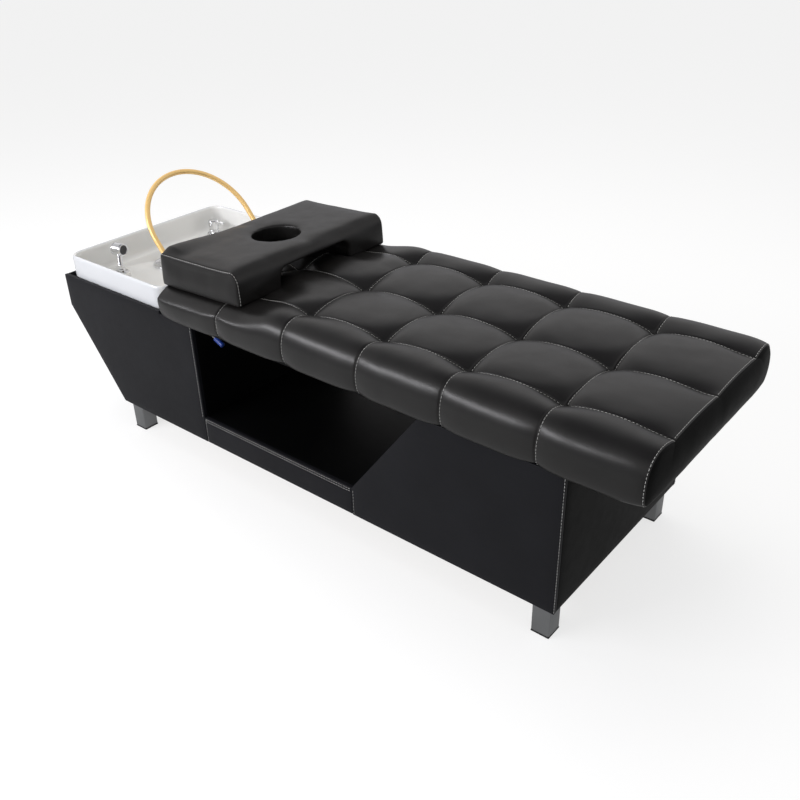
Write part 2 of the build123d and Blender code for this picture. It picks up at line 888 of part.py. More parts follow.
def mixerPlane():
    turn = radians(mixerLeverTurn)
    return Plane((mixerX, mixerSide, mixerColumnTop + mixerCapGap), x_dir=(cos(turn), sin(turn), 0))


def mixerPinZ():
    return mixerHubHeight + mixerEarHeight / 2


def mixerHub():
    hub = Cylinder(mixerHubRadius, mixerHubHeight, align=(Align.CENTER, Align.CENTER, Align.MIN))
    socket = Cylinder(mixerSpigotRadius + mixerPinClearance, 2 * mixerSpigotHeight)
    ear = Pos(0, 0, mixerHubHeight) * Box(
        mixerEarHeight, mixerEarWidth, mixerEarHeight, align=(Align.CENTER, Align.CENTER, Align.MIN)
    )
    pinLength = mixerCapRadius * 2 - mixerEarWidth
    pin = Pos(0, 0, mixerPinZ()) * Rot(90, 0, 0) * Cylinder(mixerPinRadius, pinLength)
    return mixerPlane() * (hub - socket + ear + pin)


def mixerLever():
    low = mixerHubHeight + mixerCapGap
    cap = Pos(0, 0, low) * Cylinder(
        mixerCapRadius, mixerCapHeight, align=(Align.CENTER, Align.CENTER, Align.MIN)
    )
    cap = fillet(cap.edges().sort_by(Axis.Z)[-1], mixerLeverThickness)
    pocketHeight = mixerEarHeight + 4 * mixerCapGap
    pocketWidth = mixerEarWidth + 2 * mixerCapGap
    pocket = Pos(0, 0, low) * Box(2 * mixerEarHeight, pocketWidth, 2 * pocketHeight)
    relief = Pos(0, 0, low) * Rot(0, mixerTiltRelief, 0) * Box(
        2 * mixerCapRadius, 2 * mixerCapRadius, mixerCapRadius, align=(Align.MAX, Align.CENTER, Align.MAX)
    )
    pinHole = Pos(0, 0, mixerPinZ()) * Rot(90, 0, 0) * Cylinder(
        mixerPinRadius + mixerPinClearance, 2 * mixerCapRadius
    )
    bladeZ = low + mixerCapHeight - 2 * mixerLeverThickness
    blade = Pos(0, 0, bladeZ) * Box(
        mixerCapRadius + mixerLeverLength,
        mixerLeverWidth,
        mixerLeverThickness,
        align=(Align.MIN, Align.CENTER, Align.MIN),
    )
    blade = fillet(blade.edges().filter_by(Axis.Z).group_by(Axis.X)[-1], mixerLeverWidth / 3)
    return mixerPlane() * (cap + blade - pocket - pinHole - relief)


def supplyPath(side):
    x = mixerX + side * inletSpacing
    top = fittingPadBottom - mixerShankDepth - inletHeight
    runZ = top - supplyRunDrop if side > 0 else top - supplyRunDrop - supplyRunStep
    endX = serviceX + supplyEndInset
    endY = serviceWidth / 2 - supplyEndSideInset
    if side > 0:
        endY -= supplyEndSpacing
    return FilletPolyline(
        (x, mixerSide, top),
        (x, mixerSide, runZ),
        (endX, mixerSide, runZ),
        (endX, endY, runZ),
        (endX, endY, baseBoardTop),
        radius=supplyBendRadius,
    )


def supplyInlet(side):
    top = fittingPadBottom - mixerShankDepth
    x = mixerX + side * inletSpacing
    head = block(
        sorted((mixerX, x + side * inletRadius)),
        (mixerSide - inletRadius, mixerSide + inletRadius),
        (top - inletHeight, top),
    )
    start = Plane((x, mixerSide, top - inletHeight), z_dir=(0, 0, -1))
    ring = Circle(supplyPipeRadius) - Circle(supplyPipeRadius - supplyPipeWall)
    return head + sweep(start * ring, path=supplyPath(side))


def archPoint(along, across):
    x = archCentreX - along * sin(archLeanAngle)
    z = archCentreZ + along * cos(archLeanAngle)
    return (x, across, z)


def archTube():
    legEnd = -archLegLength + archBarrelRadius / 2
    path = Wire([
        Line(archPoint(legEnd, -archRadius), archPoint(0, -archRadius)),
        ThreePointArc(archPoint(0, -archRadius), archPoint(archRadius, 0), archPoint(0, archRadius)),
        Line(archPoint(0, archRadius), archPoint(legEnd, archRadius)),
    ])
    legDirection = (-sin(archLeanAngle), 0, cos(archLeanAngle))
    start = Plane(archPoint(legEnd, -archRadius), z_dir=legDirection)
    tube = sweep(start * Circle(archTubeRadius), path=path)
    core = sweep(start * Circle(archTubeRadius - archTubeWall), path=path)
    return tube, core


def crossBar(side, radius, length):
    return Pos(archPivotX, side * archRadius, archPivotZ) * Rot(90, 0, 0) * Cylinder(radius, length)


def waterArch():
    tube, core = archTube()
    for side in (-1, 1):
        tube += crossBar(side, archBarrelRadius, archBarrelLength)
    tube -= core
    for side in (-1, 1):
        tube -= crossBar(side, archSpindleRadius + archSpindleClearance, archBarrelLength + 2 * cutOverrun)
    for index in range(archHoleCount):
        angle = radians(90 - archHoleSpread / 2 + archHoleSpread * index / (archHoleCount - 1))
        middle = archRadius - archTubeRadius
        centre = archPoint(middle * sin(angle), middle * cos(angle))
        inward = Vector(*archPoint(0, 0)) - Vector(*centre)
        tube -= Plane(centre, z_dir=inward) * Cylinder(archHoleRadius, 3 * archTubeWall)
    return tube


def archFoot(side):
    y = side * archRadius
    flange = upright(archPivotX, y, fittingPadTop, archFlangeRadius, archFlangeHeight)
    flange = fillet(flange.edges().sort_by(Axis.Z)[-1], archFlangeHeight / 3)
    foot = flange
    cheekY = archBarrelLength / 2 + fitClearance + archCheekThickness / 2
    for cheek in (-1, 1):
        base = Pos(archPivotX, y + cheek * cheekY, fittingPadTop + archFlangeHeight / 2)
        height = archPivotZ - fittingPadTop - archFlangeHeight / 2
        foot += base * Box(
            2 * archFootHalfLength, archCheekThickness, height, align=(Align.CENTER, Align.CENTER, Align.MIN)
        )
        foot += Pos(0, cheek * cheekY, 0) * crossBar(side, archFootHalfLength, archCheekThickness)
    return foot + crossBar(side, archSpindleRadius, 2 * cheekY)


def valveBody():
    along = Plane((valveX, valveY, valveZ), z_dir=(1, 0, 0))
    body = Cylinder(valveBodyRadius, valveBodyLength)
    hexagon = extrude(RegularPolygon(valveHexRadius, 6), amount=valveHexLength)
    for hexZ in (-valveBodyLength / 2, valveBodyLength / 2 - valveHexLength):
        body += Pos(0, 0, hexZ) * hexagon
    body -= Cylinder(valvePipeRadius, 2 * valveBodyLength)
    plugLength = 2 * valveBossRadius
    body += Cylinder(valveBodyRadius, plugLength)
    outward = Plane((valveX, valveY, valveZ), z_dir=(0, -1, 0))
    stem = outward * extrude(Circle(valveStemRadius), valveStemY() + valveStemLength)
    boss = outward * extrude(Circle(valveBossRadius), valveStemY())
    return along * body + stem + boss


def valveStemY():
    return valveBodyRadius + valveBossLength


def valvePipe():
    startX = bayHeadX - boardThickness - valvePipeTail
    endX = valveX - valveBossRadius
    length = endX - startX
    plane = Plane((startX, valveY, valveZ), z_dir=(1, 0, 0))
    ring = Circle(valvePipeRadius - screwClearance / 2) - Circle(valvePipeRadius - valvePipeWall)
    return plane * extrude(ring, amount=length)


def valveFlange():
    plane = Plane((bayHeadX, valveY, valveZ), z_dir=(1, 0, 0))
    ring = Circle(valveFlangeRadius) - Circle(valvePipeRadius + screwClearance)
    return plane * extrude(ring, amount=valveFlangeThickness)


def leverPlane():
    tilt = radians(valveLeverTilt)
    origin = (valveX, valveY - valveStemY() - fitClearance, valveZ)
    return Plane(origin, x_dir=(cos(tilt), 0, -sin(tilt)), z_dir=(0, -1, 0))


def valveLever():
    hub = Circle(valveBossRadius)
    blade = Pos(valveLeverLength / 2, 0) * Rectangle(valveLeverLength, valveLeverWidth)
    outline = hub + blade - Circle(valveStemRadius + valveStemClearance)
    return leverPlane() * extrude(outline, amount=valveLeverThickness)


def valveGrip():
    start = valveLeverLength - valveGripLength + cutOverrun
    plane = leverPlane() * Plane((start, 0, valveLeverThickness / 2), z_dir=(1, 0, 0))
    grip = Cylinder(valveGripRadius, valveGripLength, align=(Align.CENTER, Align.CENTER, Align.MIN))
    grip = fillet(grip.edges().filter_by(GeomType.CIRCLE), valveGripRadius / 3)
    slotLength = valveLeverLength - start + valveGripClearance
    slot = leverPlane() * Pos(start, 0, valveLeverThickness / 2) * Box(
        slotLength,
        valveLeverWidth + 2 * valveGripClearance,
        valveLeverThickness + 2 * valveGripClearance,
        align=(Align.MIN, Align.CENTER, Align.CENTER),
    )
    return plane * grip - slot


def buildNodes():
    bedTop = mattress()
    nodes = {
        "head_end_panel": headEndPanel(),
        "foot_end_panel": footEndPanel(),
        "base_board": baseBoard(),
        "head_bulkhead": headBulkhead(),
        "slanted_partition": slantedPartition(),
        "bay_floor": bayFloor(),
        "floor_battens": floorBattens(),
        "deck_cleats": deckCleats(),
        "partition_batten": partitionBatten(),
        "deck_head_bearer": deckHeadBearer(),
        "deck_board": deckBoard(),
        "deck_screws": deckScrews(),
        "leg_screws": legScrews(),
        "mattress_board": mattressBoard(),
        "mattress": bedTop,
        "face_pillow": facePillow(bedTop),
        "basin": basin(),
        "drain_flange": drainFlange(),
        "drain_strainer": drainStrainer(),
        "drain_washer": drainWasher(),
        "drain_nut": drainNut(),
        "waste_trap": wasteTrap(),
        "waste_nut": wasteNut(),
        "waste_pipe": wastePipe(),
        "sprayer_socket": sprayerSocket(),
        "sprayer_nut": sprayerNut(),
        "sprayer_handle": sprayerHandle(),
        "sprayer_face": sprayerFace(),
        "sprayer_hose_tail": hoseTail(),
        "mixer_body": mixerBody(),
        "mixer_nut": mixerNut(),
        "mixer_hub": mixerHub(),
        "mixer_lever": mixerLever(),
        "hot_inlet": supplyInlet(-1),
        "cold_inlet": supplyInlet(1),
        "water_arch": waterArch(),
        "valve_body": valveBody(),
        "valve_pipe": valvePipe(),
        "valve_flange": valveFlange(),
        "valve_lever": valveLever(),
        "valve_grip": valveGrip(),
    }
    for sideName, side in (("near", -1), ("far", 1)):
        nodes[sideName + "_head_panel"] = sidePanel(headPanelPoints(), side)
        nodes[sideName + "_rail_panel"] = sidePanel(railPanelPoints(), side)
        nodes[sideName + "_foot_panel"] = sidePanel(footPanelPoints(), side)
        nodes[sideName + "_basin_bearer"] = basinBearer(side)
        nodes[sideName + "_arch_foot"] = archFoot(side)
    for placeName, place in legPlaces().items():
        nodes[placeName + "_leg"] = leg(place)
        nodes[placeName + "_glide"] = legGlide(place)
    return nodes


os.makedirs("parts", exist_ok=True)
for nodeName, shape in buildNodes().items():
    export_step(shape, "parts/" + nodeName + ".step")
    bounds = shape.bounding_box()
    print(nodeName, round(shape.volume), bounds.min, bounds.max)
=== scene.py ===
import json
import random
from math import cos, exp, hypot, pi, radians, sin

import bmesh
import bpy
from mathutils import Matrix, Vector, noise
from mathutils.bvhtree import BVHTree

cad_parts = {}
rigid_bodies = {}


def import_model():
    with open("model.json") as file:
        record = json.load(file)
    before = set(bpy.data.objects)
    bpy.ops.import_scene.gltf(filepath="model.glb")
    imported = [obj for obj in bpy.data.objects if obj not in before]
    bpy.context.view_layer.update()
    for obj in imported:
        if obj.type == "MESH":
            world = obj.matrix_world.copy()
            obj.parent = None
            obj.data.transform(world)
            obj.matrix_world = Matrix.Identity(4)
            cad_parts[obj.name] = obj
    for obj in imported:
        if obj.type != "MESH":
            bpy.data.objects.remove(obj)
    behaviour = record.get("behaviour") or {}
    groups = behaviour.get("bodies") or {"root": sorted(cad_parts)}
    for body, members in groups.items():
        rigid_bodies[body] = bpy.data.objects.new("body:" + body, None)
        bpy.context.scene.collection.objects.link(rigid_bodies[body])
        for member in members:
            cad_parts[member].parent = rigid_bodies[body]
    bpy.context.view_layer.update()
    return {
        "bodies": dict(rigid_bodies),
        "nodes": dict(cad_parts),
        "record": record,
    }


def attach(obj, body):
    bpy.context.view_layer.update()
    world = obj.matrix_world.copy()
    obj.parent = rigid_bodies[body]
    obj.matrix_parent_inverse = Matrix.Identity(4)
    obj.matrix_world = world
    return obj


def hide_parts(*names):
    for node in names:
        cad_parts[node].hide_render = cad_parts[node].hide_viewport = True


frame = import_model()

cadNodes = frame["nodes"]
scene = bpy.context.scene
scene.view_settings.view_transform = "Standard"
kept = set(cadNodes.values()) | set(frame["bodies"].values())
for spare in [item for item in scene.objects if item not in kept]:
    bpy.data.objects.remove(spare)


# the camera: place in metres, swing, rise and roll in degrees, lens and sensor in mm
cameraSetup = {
    "place": (1.5418, -1.7247, 1.5876), "swing": 39.863, "rise": 30.397, "roll": -1.448, "lens": 40.66, "sensor": 36,
    "farthest": 100,
}


def makeCamera(setup):
    lens = bpy.data.cameras.new("camera")
    lens.lens = setup["lens"]
    lens.sensor_width = setup["sensor"]
    lens.clip_end = setup["farthest"]
    camera = bpy.data.objects.new("camera", lens)
    turns = ((setup["swing"], "Z"), (90 - setup["rise"], "X"), (setup["roll"], "Z"))
    placed = Matrix.Translation(setup["place"])
    for angle, axis in turns:
        placed = placed @ Matrix.Rotation(radians(angle), 4, axis)
    camera.matrix_world = placed
    scene.collection.objects.link(camera)
    scene.camera = camera


makeCamera(cameraSetup)


class Wire:  # one output of a node; sums on it add Math nodes
    def __init__(self, recipe, socket):
        self.recipe = recipe
        self.socket = socket

    def maths(self, operation, first, second):
        return self.recipe.node("Math", {"operation": operation}, {0: first, 1: second})

    def __add__(self, other):
        return self.maths("ADD", self, other)

    def __sub__(self, other):
        return self.maths("SUBTRACT", self, other)

    def __rsub__(self, other):
        return self.maths("SUBTRACT", other, self)

    def __mul__(self, other):
        return self.maths("MULTIPLY", self, other)

    __radd__ = __add__
    __rmul__ = __mul__

    def over(self, other):  # the larger of the two
        return self.maths("MAXIMUM", self, other)


class Recipe:  # the nodes of one material, or of the world
    def __init__(self, owner):
        owner.use_nodes = True
        self.owner = owner
        self.tree = owner.node_tree
        self.tree.nodes.clear()

    def node(self, kind, settings=None, values=None, output=0):
        made = self.tree.nodes.new("ShaderNode" + kind)
        for key, value in (settings or {}).items():
            if key == "stops":
                self.fillRamp(made.color_ramp, value)
            else:
                setattr(made, key, value)
        for key, value in (values or {}).items():
            if isinstance(value, Wire):
                self.tree.links.new(value.socket, made.inputs[key])
            else:
                made.inputs[key].default_value = value
        return Wire(self, made.outputs[output] if len(made.outputs) else None)

    def fillRamp(self, ramp, stops):
        while len(ramp.elements) < len(stops):
            ramp.elements.new(1)
        for element, (place, colour) in zip(ramp.elements, stops):
            element.position = place
            element.color = colour

    def place(self, scale=None):  # object coordinates, squeezed where a scale is given
        raw = self.node("TexCoord", output="Object")
        return self.node("Mapping", None, {"Vector": raw, "Scale": scale}) if scale else raw

    def cloud(self, where, scale, detail=2, roughness=0.5):
        values = {"Vector": where, "Scale": scale, "Detail": detail, "Roughness": roughness}
        return self.node("TexNoise", None, values, "Fac")

    def pebbles(self, where, scale):
        values = {"Vector": where, "Scale": scale, "Smoothness": 0.5}
        return self.node("TexVoronoi", {"feature": "SMOOTH_F1"}, values, "Distance")

    def ramp(self, value, stops):
        return self.node("ValToRGB", {"stops": stops}, {"Fac": value})

    def blend(self, mask, first, second):
        return self.node("Mix", {"data_type": "RGBA"}, {0: mask, 6: first, 7: second}, 2)

    def bump(self, height, depth, strength=1.0):
        return self.node("Bump", None, {"Height": height, "Distance": depth, "Strength": strength})

    def surface(self, values):
        shader = self.node("BsdfPrincipled", None, values)
        self.node("OutputMaterial", None, {"Surface": shader})
        return self.owner


def newRecipe(name):
    return Recipe(bpy.data.materials.new(name))


def addPiece(name, bm):  # what was modelled, as a new object
    mesh = bpy.data.meshes.new(name)
    bm.to_mesh(mesh)
    bm.free()
    piece = bpy.data.objects.new(name, mesh)
    scene.collection.objects.link(piece)
    return piece


studio = {
    "worldLevel": 0.46, "skyColour": (1.0, 1.0, 1.0, 1.0),
    # how light the room looks in a reflection, by height: a white band between grey walls and a dim ceiling
    "room": [(0.0, (0.46, 0.46, 0.49, 1)), (0.16, (0.56, 0.56, 0.58, 1)), (0.34, (0.90, 0.88, 0.88, 1)),
             (0.42, (0.93, 0.91, 0.91, 1)), (0.54, (0.76, 0.75, 0.75, 1)), (0.68, (0.68, 0.67, 0.68, 1)),
             (0.82, (0.40, 0.40, 0.42, 1)), (0.90, (0.20, 0.20, 0.22, 1))],
    "floorColour": (0.40, 0.40, 0.40, 1.0), "floorLift": 0.70,
    "floorMirrored": {"From Min": 0.9, "From Max": 1.4, "To Min": 0.42, "To Max": 0.10},  # less beyond the foot end
    "floorSize": 30,
    "lamps": [
        {"name": "overhead", "size": (3.0, 2.0), "place": (-0.6, 0.6, 3.2), "aim": (0, 0, 0.4), "power": 36,
         "colour": (1.0, 0.985, 0.965), "mirrored": False},
        {"name": "window", "size": (2.8, 0.55), "place": (-1.75, -2.95, 1.95), "aim": (0, -0.1, 0.5), "power": 70,
         "colour": (0.97, 0.965, 1.0), "mirrored": True},
        {"name": "front", "size": (3.4, 1.6), "place": (0.2, -4.2, 1.1), "aim": (0, 0, 0.4), "power": 36,
         "colour": (0.94, 0.965, 1.0), "mirrored": False},
    ],
}


def seenDirectly(recipe, mirrored=1.0):  # 1 where the camera or glass looks, and a share of it in reflections
    path = recipe.node("LightPath", output="Is Camera Ray")
    glass, gloss = (Wire(recipe, path.socket.node.outputs[name]) for name in ("Is Transmission Ray", "Is Glossy Ray"))
    return path.over(glass).over(gloss * mirrored)


def makeWorld(setup):
    scene.world = bpy.data.worlds.new("studio")
    recipe = Recipe(scene.world)
    way = recipe.node("TexCoord", output="Generated")
    room = recipe.ramp(recipe.node("SeparateXYZ", None, {0: way}, "Z"), setup["room"])
    inView = recipe.node("LightPath", output="Is Camera Ray")
    plain = recipe.node("Background", None, {"Color": setup["skyColour"], "Strength": setup["worldLevel"]})
    white = recipe.node("Background", None, {"Color": recipe.blend(inView, room, (1, 1, 1, 1)), "Strength": 1.0})
    both = recipe.node("MixShader", None, {0: seenDirectly(recipe), 1: plain, 2: white})
    recipe.node("OutputWorld", None, {"Surface": both})


def makeFloor(setup):
    bm = bmesh.new()
    bmesh.ops.create_grid(bm, x_segments=1, y_segments=1, size=setup["floorSize"] / 2)
    floor = addPiece("floor", bm)
    recipe = newRecipe("floor")
    matt = recipe.node("BsdfDiffuse", None, {"Color": setup["floorColour"]})
    footward = recipe.node("SeparateXYZ", None, {0: recipe.place()}, "X")
    mirrored = recipe.node("MapRange", None, {"Value": footward, **setup["floorMirrored"]})
    glow = seenDirectly(recipe, mirrored) * setup["floorLift"]
    lift = recipe.node("Emission", None, {"Color": (1, 1, 1, 1), "Strength": glow})
    both = recipe.node("AddShader", None, {0: matt, 1: lift})
    recipe.node("OutputMaterial", None, {"Surface": both})
    floor.data.materials.append(recipe.owner)


def makeLamps(setup):
    for lamp in setup["lamps"]:
        light = bpy.data.lights.new(lamp["name"], "AREA")
        light.shape = "RECTANGLE"
        light.size, light.size_y = lamp["size"]
        light.energy = lamp["power"]
        light.color = lamp["colour"]
        holder = bpy.data.objects.new(lamp["name"], light)
        holder.location = lamp["place"]
        toAim = Vector(lamp["aim"]) - Vector(lamp["place"])
        holder.rotation_euler = toAim.to_track_quat("-Z", "Y").to_euler()
        holder.visible_glossy = lamp["mirrored"]
        scene.collection.objects.link(holder)


makeWorld(studio)
makeFloor(studio)
makeLamps(studio)
print("camera, lamps and floor are in place")


# leather: dark and pale tone, roughness and shine
leatherLook = {
    "seat_leather": {"tones": ((0.0060, 0.0057, 0.0055, 1), (0.0105, 0.0098, 0.0094, 1)), "rough": 0.31, "shine": 0.36},
    "pillow_leather": {"tones": ((0.0062, 0.0058, 0.0056, 1), (0.0108, 0.0100, 0.0095, 1)), "rough": 0.36,
                       "shine": 0.32},
    # side leather is the seat's leather in a lighter, bluish copy: painted cool window light on the side boards
    "side_leather": {"tones": ((0.0068, 0.0068, 0.0084, 1), (0.0104, 0.0106, 0.0130, 1)), "rough": 0.44, "shine": 0.12},
    # end leather is a darker copy of the same leather: painted shade on the faces turned to the foot end, away from the
    # light
    "end_leather": {"tones": ((0.0045, 0.0045, 0.0045, 1), (0.0075, 0.0075, 0.0073, 1)), "rough": 0.44, "shine": 0.04},
    # bay lining: a near-black lining, toned darker still as painted shade inside the deep storage bay
    "bay_lining": {"tones": ((0.0016, 0.0016, 0.0018, 1), (0.003, 0.003, 0.0032, 1)), "rough": 0.36, "shine": 0.06},
}
# the layers of the grain: their scales, heights and shares in the tone, and how strongly they show
leatherGrain = {"pebble": 820, "crackle": 420, "fold": 34, "patch": 5, "pebbleHeight": 0.35, "crackleHeight": 0.2,
                "foldHeight": 1.2, "patchTone": 0.7, "crackleTone": 0.3, "toneRange": (0.3, 0.7), "spread": 0.10,
                "depth": 0.00026, "strength": 0.7}

# metals and plastics: dark and pale tone, roughness and how far it varies, and the squeeze of brushed marks
metalLook = {
    "leg_steel": {"tones": ((0.21, 0.215, 0.22, 1), (0.27, 0.275, 0.28, 1)), "rough": 0.34, "spread": 0.14,
                  "brushed": (1, 1, 14)},
    "screw_steel": {"tones": ((0.50, 0.50, 0.50, 1), (0.62, 0.62, 0.61, 1)), "rough": 0.30, "spread": 0.15},
    "fitting_chrome": {"tones": ((0.70, 0.71, 0.73, 1), (0.82, 0.825, 0.83, 1)), "rough": 0.05, "spread": 0.06},
    "plain_steel": {"tones": ((0.52, 0.53, 0.54, 1), (0.64, 0.65, 0.66, 1)), "rough": 0.24, "spread": 0.14,
                    "brushed": (1, 18, 1)},
    "fitting_brass": {"tones": ((0.58, 0.45, 0.22, 1), (0.70, 0.56, 0.30, 1)), "rough": 0.22, "spread": 0.14},
    "arch_gold": {"tones": ((0.95, 0.61, 0.23, 1), (0.99, 0.68, 0.28, 1)), "rough": 0.28, "spread": 0.08,
                  "metallic": 0.3},
}
plasticLook = {
    "glide_plastic": {"tones": ((0.02, 0.02, 0.02, 1), (0.035, 0.035, 0.035, 1)), "rough": 0.55},
    "seal_rubber": {"tones": ((0.015, 0.015, 0.015, 1), (0.03, 0.03, 0.03, 1)), "rough": 0.65},
    "waste_plastic": {"tones": ((0.68, 0.68, 0.66, 1), (0.76, 0.76, 0.74, 1)), "rough": 0.35},
    "spray_face_rubber": {"tones": ((0.04, 0.04, 0.045, 1), (0.07, 0.07, 0.075, 1)), "rough": 0.5},
    "grip_blue": {"tones": ((0.012, 0.035, 0.21, 1), (0.025, 0.07, 0.36, 1)), "rough": 0.22, "marks": 120},
}
# what holds for a whole family, unless a finish says otherwise: scale, detail and depth of its fine marks
metalGrain = {"metallic": 1.0, "marks": 26, "detail": 3, "depth": 0.00003, "strength": 0.5, "patch": 14}
brushedGrain = {"marks": 160, "depth": 0.00008}
plasticGrain = {"metallic": 0.0, "marks": 300, "detail": 2, "depth": 0.00012, "strength": 0.5, "patch": 12,
                "spread": 0.12}

threadLook = {"tones": ((0.40, 0.395, 0.38, 1), (0.62, 0.615, 0.60, 1)), "rough": 0.5, "spread": 0.15,
              "shine": 0.3, "twist": 900, "wear": 22, "depth": 0.0002}

ceramicLook = {
    # outside and inside are one white glaze, toned apart only for light: a bluish painted light on the outer walls and
    # a warmer grey painted shade inside the bowl
    "outside": ((0.725, 0.74, 0.765, 1), (0.77, 0.782, 0.805, 1)),
    "inside": ((0.80, 0.80, 0.785, 1), (0.85, 0.85, 0.835, 1)),
    "rough": 0.07, "spread": 0.05, "shine": 0.5, "coat": 0.4, "coatRough": 0.04, "glaze": 11, "speck": 90,
    "depth": 0.0006, "strength": 0.25,
}

timberLook = {
    "bands": [(0.32, (0.30, 0.20, 0.11, 1)), (0.5, (0.55, 0.41, 0.26, 1)), (0.68, (0.66, 0.52, 0.35, 1))],
    "bandStretch": (1.5, 14, 14), "bandScale": 6, "pore": (0.25, 0.16, 0.09, 1), "poreStretch": (4, 60, 60),
    "poreScale": 14, "poreShare": 0.35, "rough": 0.55, "spread": 0.15, "depth": 0.0003, "strength": 0.6,
}


def leatherFinish(name, look, grain):
    recipe = newRecipe(name)
    where = recipe.place()
    pebble = recipe.pebbles(where, grain["pebble"])
    crackle = recipe.cloud(where, grain["crackle"], 3, 0.6)
    fold = recipe.cloud(where, grain["fold"])
    patch = recipe.cloud(where, grain["patch"])
    height = pebble * grain["pebbleHeight"] + crackle * grain["crackleHeight"] + fold * grain["foldHeight"]
    dark, pale = grain["toneRange"]
    tone = recipe.ramp(patch * grain["patchTone"] + crackle * grain["crackleTone"],
                       [(dark, (0, 0, 0, 1)), (pale, (1, 1, 1, 1))])
    return recipe.surface({
        "Base Color": recipe.blend(tone, *look["tones"]),
        "Roughness": look["rough"] + (fold - 0.5) * grain["spread"],
        "Specular IOR Level": look["shine"],
        "Normal": recipe.bump(height, grain["depth"], grain["strength"]),
    })


def hardFinish(name, look, grain):
    recipe = newRecipe(name)
    look = {**grain, **(brushedGrain if "brushed" in look else {}), **look}
    marks = recipe.cloud(recipe.place(look.get("brushed")), look["marks"], look["detail"])
    patch = recipe.cloud(recipe.place(), look["patch"])
    return recipe.surface({
        "Base Color": recipe.blend(patch, *look["tones"]),
        "Metallic": look["metallic"],
        "Roughness": marks * look["spread"] + look["rough"],
        "Normal": recipe.bump(marks, look["depth"], look["strength"]),
    })


def threadFinish(look):
    recipe = newRecipe("thread")
    where = recipe.place()
    twist = recipe.cloud(where, look["twist"])
    worn = recipe.cloud(where, look["wear"])
    return recipe.surface({
        "Base Color": recipe.blend(worn, *look["tones"]),
        "Roughness": twist * look["spread"] + look["rough"],
        "Specular IOR Level": look["shine"],
        "Normal": recipe.bump(twist, look["depth"]),
    })


def ceramicFinish(look):
    recipe = newRecipe("ceramic")
    where = recipe.place()
    glaze = recipe.cloud(where, look["glaze"])
    speck = recipe.cloud(where, look["speck"], 3)
    # the bowl mask puts the inside tone, a painted shade, in place of the outside tone with its painted bluish light
    bowlShadeMask = recipe.node("Attribute", {"attribute_name": "bowl"}, None, "Fac")
    outside, inside = (recipe.blend(glaze, *look[key]) for key in ("outside", "inside"))
    return recipe.surface({
        "Base Color": recipe.blend(bowlShadeMask, outside, inside),
        "Roughness": speck * look["spread"] + look["rough"],
        "Specular IOR Level": look["shine"],
        "Coat Weight": look["coat"],
        "Coat Roughness": look["coatRough"],
        "Normal": recipe.bump(glaze, look["depth"], look["strength"]),
    })


def timberFinish(look):
    recipe = newRecipe("timber")
    bands = recipe.cloud(recipe.place(look["bandStretch"]), look["bandScale"], 5, 0.6)
    pore = recipe.cloud(recipe.place(look["poreStretch"]), look["poreScale"])
    return recipe.surface({
        "Base Color": recipe.blend(pore * look["poreShare"], recipe.ramp(bands, look["bands"]), look["pore"]),
        "Roughness": pore * look["spread"] + look["rough"],
        "Normal": recipe.bump(pore * 0.6 + bands * 0.4, look["depth"], look["strength"]),
    })


finishes = {"thread": threadFinish(threadLook), "basin_ceramic": ceramicFinish(ceramicLook),
            "timber": timberFinish(timberLook)}
for looks, grain, finishOf in ((leatherLook, leatherGrain, leatherFinish), (metalLook, metalGrain, hardFinish),
                               (plasticLook, plasticGrain, hardFinish)):
    finishes.update({name: finishOf(name, look, grain) for name, look in looks.items()})

for part in frame["record"]["subparts"]:
    for holder in cadNodes[part["node"]].material_slots:
        holder.material = finishes[part["material_slot"]]
print("finishes are on the fixed parts")


def softEdges(bm, sharpest):  # smooth shading that keeps edges sharper than the angle
    for face in bm.faces:
        face.smooth = True
    for edge in bm.edges:
        edge.smooth = len(edge.link_faces) != 2 or edge.calc_face_angle() < radians(sharpest)


def opened(piece):  # the mesh of a piece, to be worked on
    bm = bmesh.new()
    bm.from_mesh(piece.data)
    bm.normal_update()
    return bm


def moveEach(bm, moves):
    for vert, move in zip(bm.verts, moves):
        vert.co += move


def dress(piece, finish, body, stands):
    piece.data.materials.clear()
    piece.data.materials.append(finishes[finish])
    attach(piece, body)
    if stands:
        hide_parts(*stands)
    return piece


def makePiece(name, bm, finish, body, stands, sharpest):
    bm.normal_update()
    softEdges(bm, sharpest)
    return dress(addPiece(name, bm), finish, body, stands)


def roundOff(bm, edges, radius, segments, clamped=False):
    bmesh.ops.bevel(bm, geom=edges, offset=radius, segments=segments, profile=0.5, affect="EDGES", material=-1,
                    clamp_overlap=clamped)


def boxBetween(bm, low, high):  # a box from corner to corner; returns its edges
    centred = Matrix.Translation((high + low) / 2) @ Matrix.Diagonal((*(high - low), 1))
    made = bmesh.ops.create_cube(bm, size=1, matrix=centred)
    return list({edge for vert in made["verts"] for edge in vert.link_edges})


def tidy(bm):
    bmesh.ops.remove_doubles(bm, verts=bm.verts, dist=1e-6)
    bmesh.ops.recalc_face_normals(bm, faces=bm.faces)


def blendTo(low, high, share):
    return low + (high - low) * share


def along(points, distance):  # a place on a line of points, by its length
    for start, end in zip(points, points[1:]):
        step = (end - start).length
        if distance <= step:
            return start.lerp(end, distance / step)
        distance -= step
    return points[-1].copy()


def lengthOf(points):
    return sum((end - start).length for start, end in zip(points, points[1:]))


def rounded(points, per=6):  # a smooth line through the points
    line = []
    for index in range(len(points) - 1):
        before = points[max(index - 1, 0)]
        start, end = points[index], points[index + 1]
        after = points[min(index + 2, len(points) - 1)]
        for step in range(per):
            t = step / per
            line.append(0.5 * (2 * start + (end - before) * t + (2 * before - 5 * start + 4 * end - after) * t * t
                               + (3 * start - before - 3 * end + after) * t ** 3))
    line.append(points[-1].copy())
    return line


